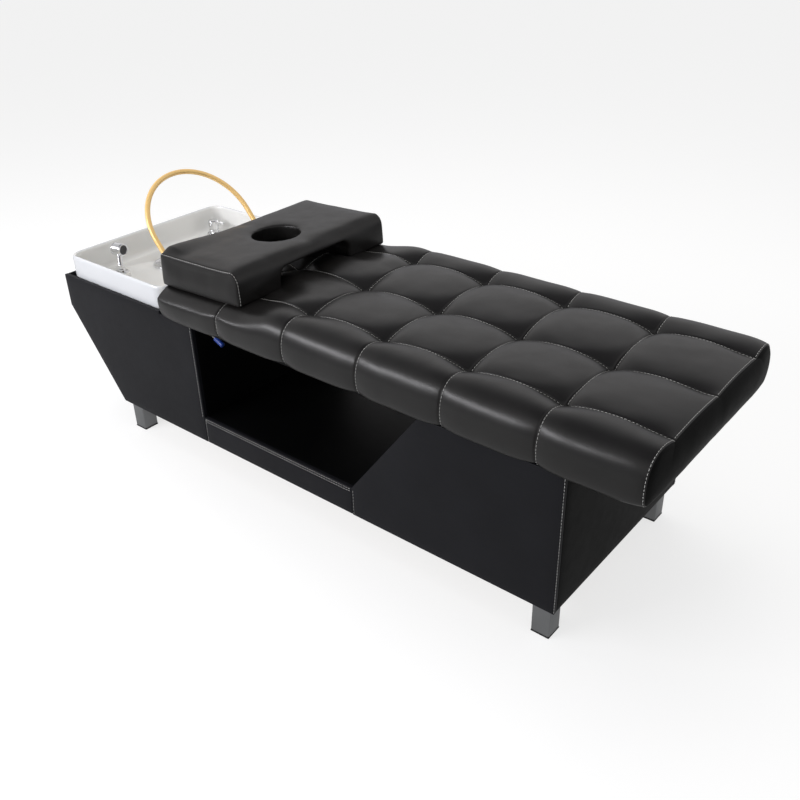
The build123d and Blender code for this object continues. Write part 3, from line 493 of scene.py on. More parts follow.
# the tufted mattress
mattressForm = {
    "footSeam": 0.997, "pitch": 0.2522, "columns": 6, "row": 0.218, "middleTuft": 0.574, "sideTuft": 0.583,
    "endTuft": 0.596, "middleRidge": 0.5995, "sideRidge": 0.606, "endRidge": 0.600, "crown": 0.0062, "seamPower": 1.8,
    "crownPower": 5, "flatness": 1.6, "bottom": 0.4875,
    "bulge": {"foot": 0.013, "head": 0.012, "start": 0.035, "span": 0.93, "power": 0.55, "sideFade": 7},
    "spread": (0, 3, 7, 12, 18, 26, 36, 48, 61, 76, 92, 109, 126),
    "sideSpread": (0, 3, 7, 12, 19, 27, 36, 46, 57, 68, 78, 88, 98, 108, 117, 126, 135, 144, 153, 162, 171, 180, 188,
                   196),
    "shoulder": 9, "shoulderBlend": 8,
    # the cover's line over the side, y and z in mm: along a seam, along the last seam, and between seams
    "seamSide": ((218, 583), (234, 592.5), (252, 600.5), (270, 605), (287, 605.5), (302, 601.5), (315, 593), (325, 580),
                 (332, 564), (335.5, 546), (335.5, 527), (333, 509), (329.5, 497), (325, 490.5), (316, 488)),
    "endSide": ((218, 594), (234, 599), (252, 603), (270, 605), (287, 603), (302, 597.5), (314, 588.5), (324, 575.5),
                (330, 560), (333, 543), (333, 525), (331, 508), (328, 497), (324, 490.5), (316, 488)),
    "crownSide": ((218, 606), (238, 609.5), (260, 611.5), (282, 611.5), (300, 607.5), (315, 599), (327.5, 586),
                  (335.5, 570), (340, 551), (341, 530), (340, 511), (337.5, 496), (334, 487.5), (329, 484.8),
                  (325, 488), (316, 488)),
    # where the feet of the pillow dent the foam: the dent's level, its lean, and how it fades out
    "press": {"level": 0.582, "middleX": -0.354, "tilt": 0.042, "soft": 0.007, "fall": 7.0, "shoulderY": 0.272,
              "innerY": (0.100, 0.150), "footX": (-0.200, -0.040)},
    "crease": 0.7, "grooveDepth": 0.0030, "tuftsAbove": 0.56, "tuftDepth": 0.006, "tuftReach": 0.016,
    "tuftPower": 1.5,
    "lumps": ((16, 0.0009), (47, 0.0003)),
    "inflate": {"pressure": 4.0, "farthest": 0.006, "calm": 2},
}
clothFrames = 20
clothSetup = {"quality": 6, "mass": 0.3, "tension_stiffness": 18, "compression_stiffness": 18, "shear_stiffness": 6,
              "bending_stiffness": 1.5, "use_pressure": True}


def rise(form, share):  # 0 at a tuft, 1 halfway along a seam
    return max(0.0, 1 - abs(2 * share - 1) ** form["seamPower"])


def swell(form, share):  # 0 at a seam, 1 soon beyond it
    return 1 - abs(2 * share - 1) ** form["crownPower"]


def cellStations(length, spread):  # where the grid's lines lie in one cushion, close together at its seams
    half = [length / 2 * step / spread[-1] for step in spread]
    return half + [length - step for step in reversed(half[:-1])]


def nearEnd(form, column, shareX):  # 1 at the last seam, 0 from the middle of the last column on
    return max(0.0, 2 * shareX - 1) ** 2 if column >= form["columns"] - 1 else 0.0


def topHeight(form, column, shareX, y):
    row = form["row"]
    shareY = (y / row) % 1
    outward = min(abs(y) / row, 1)
    last = nearEnd(form, column, shareX)
    tuft = blendTo(blendTo(form["middleTuft"], form["sideTuft"], outward), form["endTuft"], last)
    ridge = blendTo(blendTo(form["middleRidge"], form["sideRidge"], outward), form["endRidge"], last)
    a, b = rise(form, shareX), rise(form, shareY)
    low = (1 - a) ** (1 + form["flatness"] * b) * (1 - b) ** (1 + form["flatness"] * a)
    return blendTo(ridge, tuft, low) + form["crown"] * swell(form, shareX) * swell(form, shareY)


def fade(low, high, value):  # 0 at low, 1 at high, smooth between
    share = min(1, max(0, (value - low) / (high - low)))
    return share * share * (3 - 2 * share)


def pressed(form, point):  # the foam gives way under the two feet of the pillow
    press = form["press"]
    held = fade(*press["innerY"], abs(point.y)) * (1 - fade(*press["footX"], point.x))
    level = press["level"] + press["tilt"] * (point.x - press["middleX"])
    level -= press["fall"] * max(0, abs(point.y) - press["shoulderY"]) ** 2
    above = point.z - level
    point.z -= held * (above + hypot(above, press["soft"])) / 2
    return point


def sideLine(form, key):
    return rounded([Vector((0, y / 1000, z / 1000)) for y, z in form[key]])


def mattressGrid(columns, rows, layers):
    bm = bmesh.new()
    bmesh.ops.create_cube(bm, size=2)
    for axis, count in ((0, columns), (1, rows), (2, layers)):
        across = [e for e in bm.edges if abs((e.verts[0].co - e.verts[1].co)[axis]) > 1e-5]
        bmesh.ops.subdivide_edges(bm, edges=across, cuts=count - 1, use_grid_fill=True)
    return bm


def shapeMattress(form):
    cell = cellStations(form["pitch"], form["spread"])
    perColumn = len(cell) - 1
    columns = perColumn * form["columns"]
    rowCell = cellStations(form["row"], form["spread"])
    perRow = len(rowCell) - 1
    shoulder = form["shoulder"]
    layers = len(form["sideSpread"]) - 1 - shoulder
    rows = 2 * (perRow + shoulder)
    headSeam = form["footSeam"] - form["pitch"] * form["columns"]
    lines = [sideLine(form, key) for key in ("seamSide", "endSide", "crownSide")]
    lengths = [lengthOf(line) for line in lines]

    def sidePoint(column, shareX, step):
        share = form["sideSpread"][step] / form["sideSpread"][-1]
        low, last, high = (along(line, share * length) for line, length in zip(lines, lengths))
        low = low.lerp(last, nearEnd(form, column, shareX))
        full = blendTo(rise(form, shareX), swell(form, shareX), min(1, step / form["shoulderBlend"]))
        return low.lerp(high, full)

    def placed(a):  # the column of a station, its x, and its share of the column
        column = min(a // perColumn, form["columns"] - 1)
        within = cell[a - column * perColumn]
        return column, headSeam + column * form["pitch"] + within, within / form["pitch"]

    def topPoint(a, b):
        column, x, shareX = placed(a)
        middle = b - rows // 2
        side = -1 if middle < 0 else 1
        if abs(middle) <= perRow:
            y = side * rowCell[abs(middle)]
            return pressed(form, Vector((x, y, topHeight(form, column, shareX, y))))
        point = sidePoint(column, shareX, abs(middle) - perRow)
        return pressed(form, Vector((x, side * point.y, point.z)))

    bm = mattressGrid(columns, rows, layers)
    marks = bm.verts.layers.int.new("seam")
    ends = bm.verts.layers.int.new("end")
    bottom, bulge = form["bottom"], form["bulge"]
    for vert in bm.verts:
        a = round((vert.co.x + 1) / 2 * columns)
        b = round((vert.co.y + 1) / 2 * rows)
        c = round((vert.co.z + 1) / 2 * layers)
        onSide = b in (0, rows)
        top = topPoint(a, b)
        column, x, shareX = placed(a)
        if onSide and c < layers:
            point = sidePoint(column, shareX, shoulder + layers - c)
            vert.co = pressed(form, Vector((top.x, (-1 if b == 0 else 1) * point.y, point.z)))
        elif c == layers:
            vert.co = top
        else:
            edge = sidePoint(column, shareX, shoulder + layers - c)
            corner = sidePoint(column, shareX, shoulder)
            share = (edge.z - bottom) / (corner.z - bottom)
            vert.co = Vector((top.x, top.y / corner.y * edge.y, blendTo(bottom, top.z, share)))
            if c > 0:
                inward = 1 - min(1, abs(top.y / corner.y)) ** bulge["sideFade"]
                turn = pi * min(1, share * bulge["span"] + bulge["start"])
                push = max(0.0, sin(turn)) ** bulge["power"] * inward
                vert.co.x += bulge["foot"] * push if a else -bulge["head"] * push
        crossSeam = a % perColumn == 0 and c > 0 and (c == layers or onSide)
        longSeam = c == layers and abs(b - rows // 2) in (0, perRow)
        crossing = crossSeam and longSeam
        held = c == 0 or (a in (0, columns) and (onSide or c == layers))
        vert[ends] = a == columns
        vert[marks] = 3 if crossing else 2 if crossSeam or longSeam else 1 if held else 0
    bmesh.ops.recalc_face_normals(bm, faces=bm.faces)
    return bm


def calmed(piece, ways, passes):  # evens out how far neighbouring points move
    bm = opened(piece)
    near = [[edge.other_vert(vert).index for edge in vert.link_edges] for vert in bm.verts]
    bm.free()
    for _ in range(passes):
        ways = [(way + sum((ways[index] for index in around), Vector()) / len(around)) / 2
                for way, around in zip(ways, near)]
    return ways


def inflate(piece, pinned, how):  # cloth under pressure, where no point goes farther than it may
    group = piece.vertex_groups.new(name="pinned")
    group.add(pinned, 1.0, "REPLACE")
    cloth = piece.modifiers.new("inflate", "CLOTH")
    cloth.point_cache.frame_end = clothFrames
    rules = cloth.settings
    for key, value in clothSetup.items():
        setattr(rules, key, value)
    rules.uniform_pressure_force = how["pressure"]
    rules.effector_weights.gravity = 0
    if pinned:
        rules.vertex_group_mass = "pinned"
    for step in range(1, clothFrames + 1):
        scene.frame_set(step)
    solved = piece.evaluated_get(bpy.context.evaluated_depsgraph_get())
    ways = [end.co - vert.co for vert, end in zip(piece.data.vertices, solved.data.vertices)]
    ways = [way * min(1, how["farthest"] / max(way.length, 1e-9)) for way in ways]
    for vert, way in zip(piece.data.vertices, calmed(piece, ways, how["calm"])):
        vert.co += way
    piece.modifiers.remove(cloth)
    piece.vertex_groups.remove(group)
    scene.frame_set(1)


def subdivide(piece):
    smoother = piece.modifiers.new("subdivide", "SUBSURF")
    smoother.levels = smoother.render_levels = 1


def makeMattress(form):
    piece = makePiece("tufted_mattress", shapeMattress(form), "seat_leather", "bed", ["mattress"], 180)
    seams = [item.value for item in piece.data.attributes["seam"].data]
    inflate(piece, [index for index, mark in enumerate(seams) if mark], form["inflate"])
    bm = opened(piece)
    lastTuft = form["footSeam"] - form["pitch"] / 2
    crossings = [vert.co.copy() for vert in bm.verts if seams[vert.index] == 3 and vert.co.x < lastTuft]
    creases = bm.edges.layers.float.new("crease_edge")
    for edge in bm.edges:
        first, second = (seams[vert.index] for vert in edge.verts)
        if first > 1 and second > 1:
            edge[creases] = form["crease"]
    moves = []
    for vert in bm.verts:
        uneven = sum(noise.noise(vert.co * scale) * height for scale, height in form["lumps"])
        inward = form["grooveDepth"] if seams[vert.index] > 1 else 0
        if vert.co.z > form["tuftsAbove"]:
            near = min((vert.co - spot).length for spot in crossings)
            if near < form["tuftReach"]:
                inward += form["tuftDepth"] * (1 - near / form["tuftReach"]) ** form["tuftPower"]
        moves.append(vert.normal * (uneven - inward) if seams[vert.index] != 1 else Vector())
    moveEach(bm, moves)
    # the foot end cap takes the darker end leather, a painted shade on the faces turned away from the light
    piece.data.materials.append(finishes["end_leather"])
    ends = bm.verts.layers.int["end"]
    for face in bm.faces:
        face.material_index = int(all(vert[ends] for vert in face.verts))
    bm.to_mesh(piece.data)
    bm.free()
    subdivide(piece)
    return piece


mattress = makeMattress(mattressForm)
print("mattress is shaped")


# the face pillow
pillowForm = {
    "low": (-0.530, -0.304, 0.578), "high": (-0.194, 0.304, 0.679), "tilt": 0.042, "corner": 0.012,
    "frontRoll": 0.036, "hole": (-0.354, -0.002), "holeRadius": 0.070, "archHalf": 0.138, "archTop": 0.640,
    "archCorner": 0.026, "toolMargin": 0.05, "sharp": 0.8, "voxel": 0.0055, "relax": (0.5, 5), "shrink": 0.002,
    # what is left uninflated: low points that face down
    "underside": {"below": 0.645, "facing": -0.4},
    "inflate": {"pressure": 3.0, "farthest": 0.004, "calm": 24},
    # the lining under the hole hangs down round its edge
    "lining": {"from": 0.035, "to": 0.004, "drop": 0.016, "heights": (0.665, 0.640), "depth": 0.02},
    "lumps": (19, 0.0007),
    # the top stands up a little along its head edge, beside the near foot of the water arch
    "puff": {"start": (-0.292, -0.262), "end": (-0.245, -0.050), "alongX": (-0.515, -0.430), "depth": (0.640, 0.672),
             "rise": 0.011},
    "seamY": 0.3003, "seamWidth": 0.006, "seamDepth": 0.0022,
}


def blockBetween(name, low, high, *rolls):  # a box, with each roll's chosen edges rounded
    bm = bmesh.new()
    boxBetween(bm, low, high)
    for radius, chosen in rolls:
        roundOff(bm, [edge for edge in bm.edges if chosen(edge)], radius, 8)
    return addPiece(name, bm)


def settle(piece):  # writes what the modifiers make into the mesh
    solved = piece.evaluated_get(bpy.context.evaluated_depsgraph_get())
    mesh = bpy.data.meshes.new_from_object(solved)
    piece.modifiers.clear()
    piece.data = mesh


def pillowBlock(form):
    low, high, margin, close = Vector(form["low"]), Vector(form["high"]), form["toolMargin"], 1e-4

    def front(edge):
        return all(vert.co.z > high.z - close and vert.co.x > high.x - close for vert in edge.verts)

    def rest(edge):
        return max(vert.co.z for vert in edge.verts) > high.z - close and edge.calc_face_angle(0) > form["sharp"]

    def archCorner(edge):
        ends = [vert.co for vert in edge.verts]
        return min(end.z for end in ends) > form["archTop"] - close and abs(ends[0].y - ends[1].y) < close

    piece = blockBetween("pillow_cushion", low, high, (form["frontRoll"], front), (form["corner"], rest))
    archLow = Vector((low.x - margin, -form["archHalf"], low.z - margin))
    archHigh = Vector((high.x + margin, form["archHalf"], form["archTop"]))
    arch = blockBetween("arch_tool", archLow, archHigh, (form["archCorner"], archCorner))
    bm = bmesh.new()
    bmesh.ops.create_cone(bm, cap_ends=True, segments=64, radius1=form["holeRadius"], radius2=form["holeRadius"],
                          depth=0.3, matrix=Matrix.Translation((*form["hole"], high.z)))
    hole = addPiece("hole_tool", bm)
    for tool in (arch, hole):
        cut = piece.modifiers.new(tool.name, "BOOLEAN")
        cut.operation = "DIFFERENCE"
        cut.object = tool
    shell = piece.modifiers.new("shell", "REMESH")
    shell.mode = "VOXEL"
    shell.voxel_size = form["voxel"]
    relax = piece.modifiers.new("relax", "SMOOTH")
    relax.factor, relax.iterations = form["relax"]
    settle(piece)
    for tool in (arch, hole):
        bpy.data.objects.remove(tool)
    return piece


def makePillow(form):
    piece = pillowBlock(form)
    under = [vert.index for vert in piece.data.vertices
             if vert.co.z < form["underside"]["below"] and vert.normal.z < form["underside"]["facing"]]
    for vert in piece.data.vertices:
        vert.co -= vert.normal * form["shrink"]
    inflate(piece, under, form["inflate"])
    subdivide(piece)
    settle(piece)
    bm = opened(piece)
    puff, lining = form["puff"], form["lining"]
    lumpScale, lumpHeight = form["lumps"]
    moves = []
    for vert in bm.verts:
        away = abs(abs(vert.co.y) - form["seamY"])
        depth = form["seamDepth"] * max(0.0, 1 - away / form["seamWidth"])
        fromHole = hypot(vert.co.x - form["hole"][0], vert.co.y - form["hole"][1]) - form["holeRadius"]
        droop = fade(*lining["heights"], vert.co.z) * fade(lining["from"], lining["to"], fromHole)
        droop = droop if vert.co.z > form["archTop"] - lining["depth"] else 0
        move = vert.normal * (noise.noise(vert.co * lumpScale) * lumpHeight - depth)
        move.z += form["tilt"] * (vert.co.x - form["hole"][0]) - lining["drop"] * droop
        puffed = fade(*puff["start"], vert.co.y) * (1 - fade(*puff["end"], vert.co.y)) * fade(*puff["depth"], vert.co.z)
        move.z += puff["rise"] * puffed * (1 - fade(*puff["alongX"], vert.co.x))
        moves.append(move)
    moveEach(bm, moves)
    for face in bm.faces:
        face.smooth = True
    bm.to_mesh(piece.data)
    bm.free()
    dress(piece, "pillow_leather", "pillow", ["face_pillow"])
    return piece


pillow = makePillow(pillowForm)
print("pillow is shaped")


# the upholstered boards round the frame: edge roll, swell and slight waves of the leather
boardForm = {"edgeRoll": 0.0035, "sharp": 0.3, "puff": 0.0016, "puffReach": 0.020, "cell": 0.024, "snap": 0.002,
             "waves": 0.0006, "waveScale": 7, "waveReach": 0.05}


def toOutline(point, corners):  # how far a point lies from the nearest side of an outline
    nearest = 1.0
    for start, end in zip(corners, corners[1:] + corners[:1]):
        side = end - start
        share = min(1, max(0, (point - start).dot(side) / side.length_squared))
        nearest = min(nearest, (point - start - side * share).length)
    return nearest


def flatShape(bm, corners):  # one face with the given corners
    made = bmesh.ops.create_circle(bm, cap_ends=True, segments=len(corners), radius=1)
    for vert, corner in zip(made["verts"], corners):
        vert.co = corner


def paddedBoard(name, outline, origin, across, up, outward, thickness, node, form, finish="side_leather"):
    corners = [origin + across * u + up * v for u, v in outline]
    bm = bmesh.new()
    flatShape(bm, corners)
    for way, axis in ((across, 0), (up, 1)):
        low, high = min(spot[axis] for spot in outline), max(spot[axis] for spot in outline)
        count = round((high - low) / form["cell"])
        for step in range(1, count):
            spot = origin + way * (low + (high - low) * step / count)
            bmesh.ops.bisect_plane(bm, geom=bm.verts[:] + bm.edges[:] + bm.faces[:], plane_co=spot, plane_no=way,
                                   dist=form["snap"])
    grown = bmesh.ops.extrude_face_region(bm, geom=bm.faces[:])
    front = [item for item in grown["geom"] if isinstance(item, bmesh.types.BMVert)]
    for vert in front:
        away = toOutline(vert.co, corners)
        puff = form["puff"] * (1 - exp(-away / form["puffReach"]))
        wave = noise.noise(vert.co * form["waveScale"]) * form["waves"] * min(1, away / form["waveReach"])
        vert.co += outward * (thickness + puff + wave)
    tidy(bm)
    level = origin.dot(outward)
    outer = []
    for edge in bm.edges:
        depths = [vert.co.dot(outward) - level > thickness / 2 for vert in edge.verts]
        if any(depths) and edge.calc_face_angle(0) > form["sharp"]:
            outer.append(edge)
    roundOff(bm, outer, form["edgeRoll"], 4, True)
    tidy(bm)
    return makePiece(name + "_upholstery", bm, finish, "bed", [node], 50)


# the frame's lines, from the middle of the bed and from the floor
frameSizes = {
    "head": -1.011, "headThick": 0.008, "foot": 0.817, "half": 0.325, "inner": 0.313, "low": 0.100, "knee": 0.391,
    "top": 0.488, "headTop": 0.496, "step": -0.532, "slantFoot": -0.805, "bayHead": -0.391, "bayFoot": 0.198,
    "railTop": 0.187, "slantTop": 0.425,
}


def rectangle(left, right, low, high):
    return [(left, low), (right, low), (right, high), (left, high)]


def makeBoards(s, form):
    head = [(s["head"], s["headTop"]), (s["head"], s["knee"]), (s["slantFoot"], s["low"]), (s["bayHead"], s["low"]),
            (s["bayHead"], s["top"]), (s["step"], s["top"]), (s["step"], s["headTop"])]
    rail = rectangle(s["bayHead"], s["bayFoot"], s["low"], s["railTop"])
    foot = [(s["bayFoot"], s["low"]), (s["foot"], s["low"]), (s["foot"], s["top"]), (s["slantTop"], s["top"]),
            (s["bayFoot"], s["railTop"])]
    inner, thick, headThick = s["inner"], s["half"] - s["inner"], s["headThick"]
    toFoot, toFar, upward = Vector((1, 0, 0)), Vector((0, 1, 0)), Vector((0, 0, 1))
    lean = Vector((s["head"] - s["slantFoot"], 0, s["knee"] - s["low"]))
    underneath = Vector((-lean.z, 0, lean.x)).normalized()
    slopeFoot = Vector((s["slantFoot"], 0, s["low"])) - underneath * headThick
    made = []
    for sideName, outward in (("near", -toFar), ("far", toFar)):
        for partName, outline in (("head", head), ("rail", rail), ("foot", foot)):
            name = sideName + "_" + partName
            made.append(paddedBoard(name, outline, outward * inner, toFoot, upward, outward, thick, name + "_panel",
                                    form))
    made.append(paddedBoard("head_end", rectangle(-inner, inner, s["knee"], s["headTop"]),
                            toFoot * (s["head"] + headThick), toFar, upward, -toFoot, headThick, "head_end_panel",
                            form))
    made.append(paddedBoard("head_slope", rectangle(-inner, inner, 0, lean.length), slopeFoot, toFar,
                            lean.normalized(), underneath, headThick, "head_end_panel", form))
    # the foot end board takes the darker end leather as painted shade
    made.append(paddedBoard("foot_end", rectangle(-inner, inner, s["low"], s["top"]), toFoot * (s["foot"] - thick),
                            toFar, upward, toFoot, thick, "foot_end_panel", form, "end_leather"))
    return made


boards = makeBoards(frameSizes, boardForm)
print("frame boards are covered")


# the basin
basinForm = {
    "low": (-1.002, -0.308), "high": (-0.532, 0.308), "drain": (-0.895, 0.0), "arcSteps": 8, "sideSteps": 10,
    # inset from the outside, corner radius and height of each ring, from the foot of the outer wall to the floor
    "rings": ((0, 44, 468), (0, 44, 480), (0, 44, 520), (0, 44, 547), (0.4, 44, 552), (1.7, 43, 556.4),
              (3.8, 41, 559.2), (6.4, 39, 560), (9.0, 37, 559.2), (11.0, 35, 556.4), (12.2, 34, 552), (12.6, 34, 547),
              (13.0, 34, 520), (13.8, 34, 500), (15.5, 34, 490.5), (19, 34, 484.5), (24, 34, 481), (32, 32, 479.2)),
    "funnel": ((0.12, 477.0), (0.4, 470.4), (0.7, 463.4), (0.9, 457.8), (0.97, 454.8), (1.0, 453.0)),
    # half width, corner radius and height of each ring round the drain
    "funnelFoot": (59, 57.82, 453),
    "throat": ((33.5, 33.4665, 453), (33.5, 33.4665, 441), (74, 59, 441)),
    "underEdge": (38, 22, 468),
    "pads": ((-0.905, -0.185), (-0.943, 0.240), (-0.581, -0.1846), (-0.581, 0.1846)),
    "padRadius": 0.027, "padFlare": 0.002, "padFoot": 0.4505, "padTop": 0.481, "padEdge": 0.0008,
    # what counts as the inside of the bowl, which takes the glaze's painted shade tone: beyond this much wall, and
    # above this height
    "wall": 0.0105, "bowlFloor": 0.449,
}


def ringPoints(low, high, corner, z, arcSteps, sideSteps):  # round a box with round corners
    inset = Vector((corner, corner))
    low, high = low + inset, high - inset
    arcs = []
    for quarter, (x, y) in enumerate(((high.x, high.y), (low.x, high.y), (low.x, low.y), (high.x, low.y))):
        turns = [pi / 2 * (quarter + step / arcSteps) for step in range(arcSteps + 1)]
        arcs.append([Vector((x + corner * cos(turn), y + corner * sin(turn), z)) for turn in turns])
    points = []
    for index, arc in enumerate(arcs):
        following = arcs[(index + 1) % 4][0]
        points += arc + [arc[-1].lerp(following, step / sideSteps) for step in range(1, sideSteps)]
    return points


def growRings(bm, rings):  # a skin through the rings, which all have as many points
    count = len(rings[0])
    started = bmesh.ops.create_circle(bm, segments=count, radius=1)
    ring = started["verts"]
    for vert, point in zip(ring, rings[0]):
        vert.co = point
    for points in rings[1:]:
        edges = [ring[i].link_edges[:] for i in range(count)]
        loop = [next(e for e in edges[i] if e.other_vert(ring[i]) == ring[(i + 1) % count]) for i in range(count)]
        grown = set(v for v in bmesh.ops.extrude_edge_only(bm, edges=loop)["geom"] if isinstance(v, bmesh.types.BMVert))
        ring = [next(e.other_vert(v) for e in v.link_edges if e.other_vert(v) in grown) for v in ring]
        for vert, point in zip(ring, points):
            vert.co = point


def makeBasin(form):
    low, high, drain = Vector(form["low"]), Vector(form["high"]), Vector(form["drain"])
    steps = form["arcSteps"], form["sideSteps"]

    def ringBetween(start, end, amount, corner, z):  # sizes in mm
        shift = Vector((amount, amount)) / 1000
        return ringPoints(start + shift, end - shift, corner / 1000, z / 1000, *steps)

    def drainRing(half, corner, z):
        return ringBetween(drain, drain, -half, corner, z)

    rings = [ringBetween(low, high, *ring) for ring in form["rings"]]
    floorEdge, funnelFoot = rings[-1], drainRing(*form["funnelFoot"])
    for share, z in form["funnel"]:
        ring = [start.lerp(end, share) for start, end in zip(floorEdge, funnelFoot)]
        for point in ring:
            point.z = z / 1000
        rings.append(ring)
    rings += [drainRing(*ring) for ring in form["throat"]] + [ringBetween(low, high, *form["underEdge"]), rings[0]]
    bm = bmesh.new()
    growRings(bm, rings)
    tidy(bm)
    padFoot, padTop, padRadius = form["padFoot"], form["padTop"], form["padRadius"]
    for x, y in form["pads"]:
        made = bmesh.ops.create_cone(bm, cap_ends=True, segments=40, radius1=padRadius + form["padFlare"],
                                     radius2=padRadius, depth=padTop - padFoot,
                                     matrix=Matrix.Translation((x, y, (padTop + padFoot) / 2)))
        top = {vert for vert in made["verts"] if vert.co.z > padTop - 1e-4}
        roundOff(bm, [edge for edge in bm.edges if top.issuperset(edge.verts)], form["padEdge"], 2)
    # marks the inside of the bowl, where the ceramic gets its painted shade tone
    bowl = bm.verts.layers.float.new("bowl")
    wall = form["wall"]
    for vert in bm.verts:
        x, y, z = vert.co
        within = low.x + wall < x < high.x - wall and low.y + wall < y < high.y - wall
        vert[bowl] = float(within and z > form["bowlFloor"])
    makePiece("basin_bowl", bm, "basin_ceramic", "bed", ["basin"], 30)


makeBasin(basinForm)
print("basin is shaped")


# the square legs and their screw plates
legForm = {"width": 0.050, "edge": 0.0035, "top": 0.096, "glide": 0.003, "plate": 0.084, "plateThick": 0.004,
           "plateEdge": 0.001, "inset": 0.017, "headX": -0.794}


def makeLegs(form, sizes):
    for endName, edgeX, inward in (("head", form["headX"], 1), ("foot", sizes["foot"] - form["inset"], -1)):
        for sideName, side in (("near", -1), ("far", 1)):
            edgeY = side * (sizes["half"] - form["inset"])
            bm = bmesh.new()
            for width, low, high, edge in (
                    (form["width"], form["glide"], form["top"], form["edge"]),
                    (form["plate"], form["top"], form["top"] + form["plateThick"], form["plateEdge"])):
                xs = sorted((edgeX, edgeX + inward * width))
                ys = sorted((edgeY, edgeY - side * width))
                roundOff(bm, boxBetween(bm, Vector((xs[0], ys[0], low)), Vector((xs[1], ys[1], high))), edge, 3)
            name = sideName + "_" + endName
            makePiece(name + "_steel_leg", bm, "leg_steel", "bed", [name + "_leg"], 30)


makeLegs(legForm, frameSizes)
print("legs are shaped")


# chrome rings on the drain, the sprayer and the mixer
ringForm = {
    "steps": 56, "round": 10,
    # name, body, centre, which way from +X it faces in degrees, None where it lies flat, radius and thickness
    "rings": (("drain_rim", "bed", (-0.895, 0, 0.4572), None, 0.0525, 0.0042),
              ("drain_lip", "bed", (-0.895, 0, 0.4565), None, 0.0395, 0.0022),
              ("sprayer_bezel", "sprayer", (-0.9206, -0.1559, 0.545), 12, 0.0178, 0.0024),
              ("sprayer_band", "sprayer", (-0.9527, -0.1627, 0.545), 12, 0.0200, 0.0014),
              ("mixer_band", "bed", (-0.943, 0.240, 0.4940), None, 0.0162, 0.0013)),
}


def makeRings(form):
    for name, body, centre, turn, radius, thick in form["rings"]:
        bm = bmesh.new()
        standing = Matrix.Translation((radius, 0, 0)) @ Matrix.Rotation(pi / 2, 4, "X")
        bmesh.ops.create_circle(bm, segments=form["round"], radius=thick, matrix=standing)
        bmesh.ops.spin(bm, geom=bm.verts[:] + bm.edges[:], cent=(0, 0, 0), axis=(0, 0, 1), angle=2 * pi,
                       steps=form["steps"], use_merge=True)
        tidy(bm)
        if turn is not None:
            bm.transform(Matrix.Rotation(radians(turn), 4, "Z") @ Matrix.Rotation(pi / 2, 4, "Y"))
        bm.transform(Matrix.Translation(centre))
        makePiece(name, bm, "fitting_chrome", body, (), 60)


makeRings(ringForm)
print("rings are on the fittings")


# the stitches, in pale thread
stitchForm = {
    "pitch": 0.0088, "length": 0.0070, "lengths": (0.94, 1.04), "radius": 0.00072, "flat": 0.8, "lift": 0.0003,
    "offset": 0.0045, "pillowOffset": 0.0055, "sway": 0.05, "seed": 7,
    # how a seam is traced: round the mattress's sides, over its top, and round the pillow
    "sideTurn": {"y": 0.262, "z": 0.545, "start": -52, "end": 90, "steps": 33, "reach": 0.3},
    "pillowTurn": {"z": 0.63, "start": -14, "end": 194, "steps": 149, "reach": 0.4},
    "down": (0.7, 0.4), "topHalf": 0.258, "topSteps": 170, "lengthSteps": 520,
    # on the boards: the seams' distances from the edges, and the tops of the upright ones
    "boardSpacing": 0.006, "panelInset": 0.006, "railInset": 0.0055, "endGap": 0.004, "railDrops": (0.0045, 0.0115),
    "panelTop": 0.484, "outside": 0.4, "cornerReach": 0.05,
}


def surfaceOf(*pieces):
    depsgraph = bpy.context.evaluated_depsgraph_get()
    return [BVHTree.FromObject(piece, depsgraph) for piece in pieces]


def landings(trees, shots):  # where rays from each start towards each aim meet the covers
    found = []
    for start, aim in shots:
        way = (aim - start).normalized()
        hits = [tree.ray_cast(start, way) for tree in trees]
        hits = [hit for hit in hits if hit[0] is not None]
        if hits:
            place, normal = min(hits, key=lambda hit: hit[3])[:2]
            found.append((place, normal if normal.dot(way) < 0 else -normal))
    return found


def sewRow(whole, line, form, chance):  # one small bead for each stitch, along a line on the cover
    if len(line) < 2:
        return
    bm = bmesh.new()
    places = [place for place, normal in line]
    lengths = [0.0]
    for start, end in zip(places, places[1:]):
        lengths.append(lengths[-1] + (end - start).length)
    count = int(lengths[-1] / form["pitch"])
    index = 0
    for number in range(count):
        middle = (number + 0.5) * lengths[-1] / count
        while lengths[index + 1] < middle:
            index += 1
        share = (middle - lengths[index]) / max(lengths[index + 1] - lengths[index], 1e-9)
        place = places[index].lerp(places[index + 1], share)
        normal = line[index][1].lerp(line[index + 1][1], share).normalized()
        run = (places[index + 1] - places[index]).normalized()
        cross = normal.cross(run).normalized()
        run = (run + cross * chance.uniform(-form["sway"], form["sway"])).normalized()
        cross = normal.cross(run).normalized()
        half = form["length"] / 2 * chance.uniform(*form["lengths"])
        flat = normal * form["radius"] * form["flat"]
        turned = Matrix((run * half, cross * form["radius"], flat)).transposed().to_4x4()
        turned.translation = place + normal * form["lift"]
        turned = turned @ Matrix.Rotation(pi / 2, 4, "Y")
        bmesh.ops.create_uvsphere(bm, u_segments=5, v_segments=5, radius=1, matrix=turned)
    row = bpy.data.meshes.new("row")
    bm.to_mesh(row)
    bm.free()
    whole.from_mesh(row)
    bpy.data.meshes.remove(row)


def down(form, x, y):  # a shot straight down
    return tuple(Vector((x, y, z)) for z in form["down"])


def arcShots(centre, across, turn):  # shots at the centre, from an arc that turns up from the way across
    shots = []
    for step in range(turn["steps"] + 1):
        angle = radians(blendTo(turn["start"], turn["end"], step / turn["steps"]))
        shots.append((centre + (across * cos(angle) + Vector((0, 0, sin(angle)))) * turn["reach"], centre))
    return shots


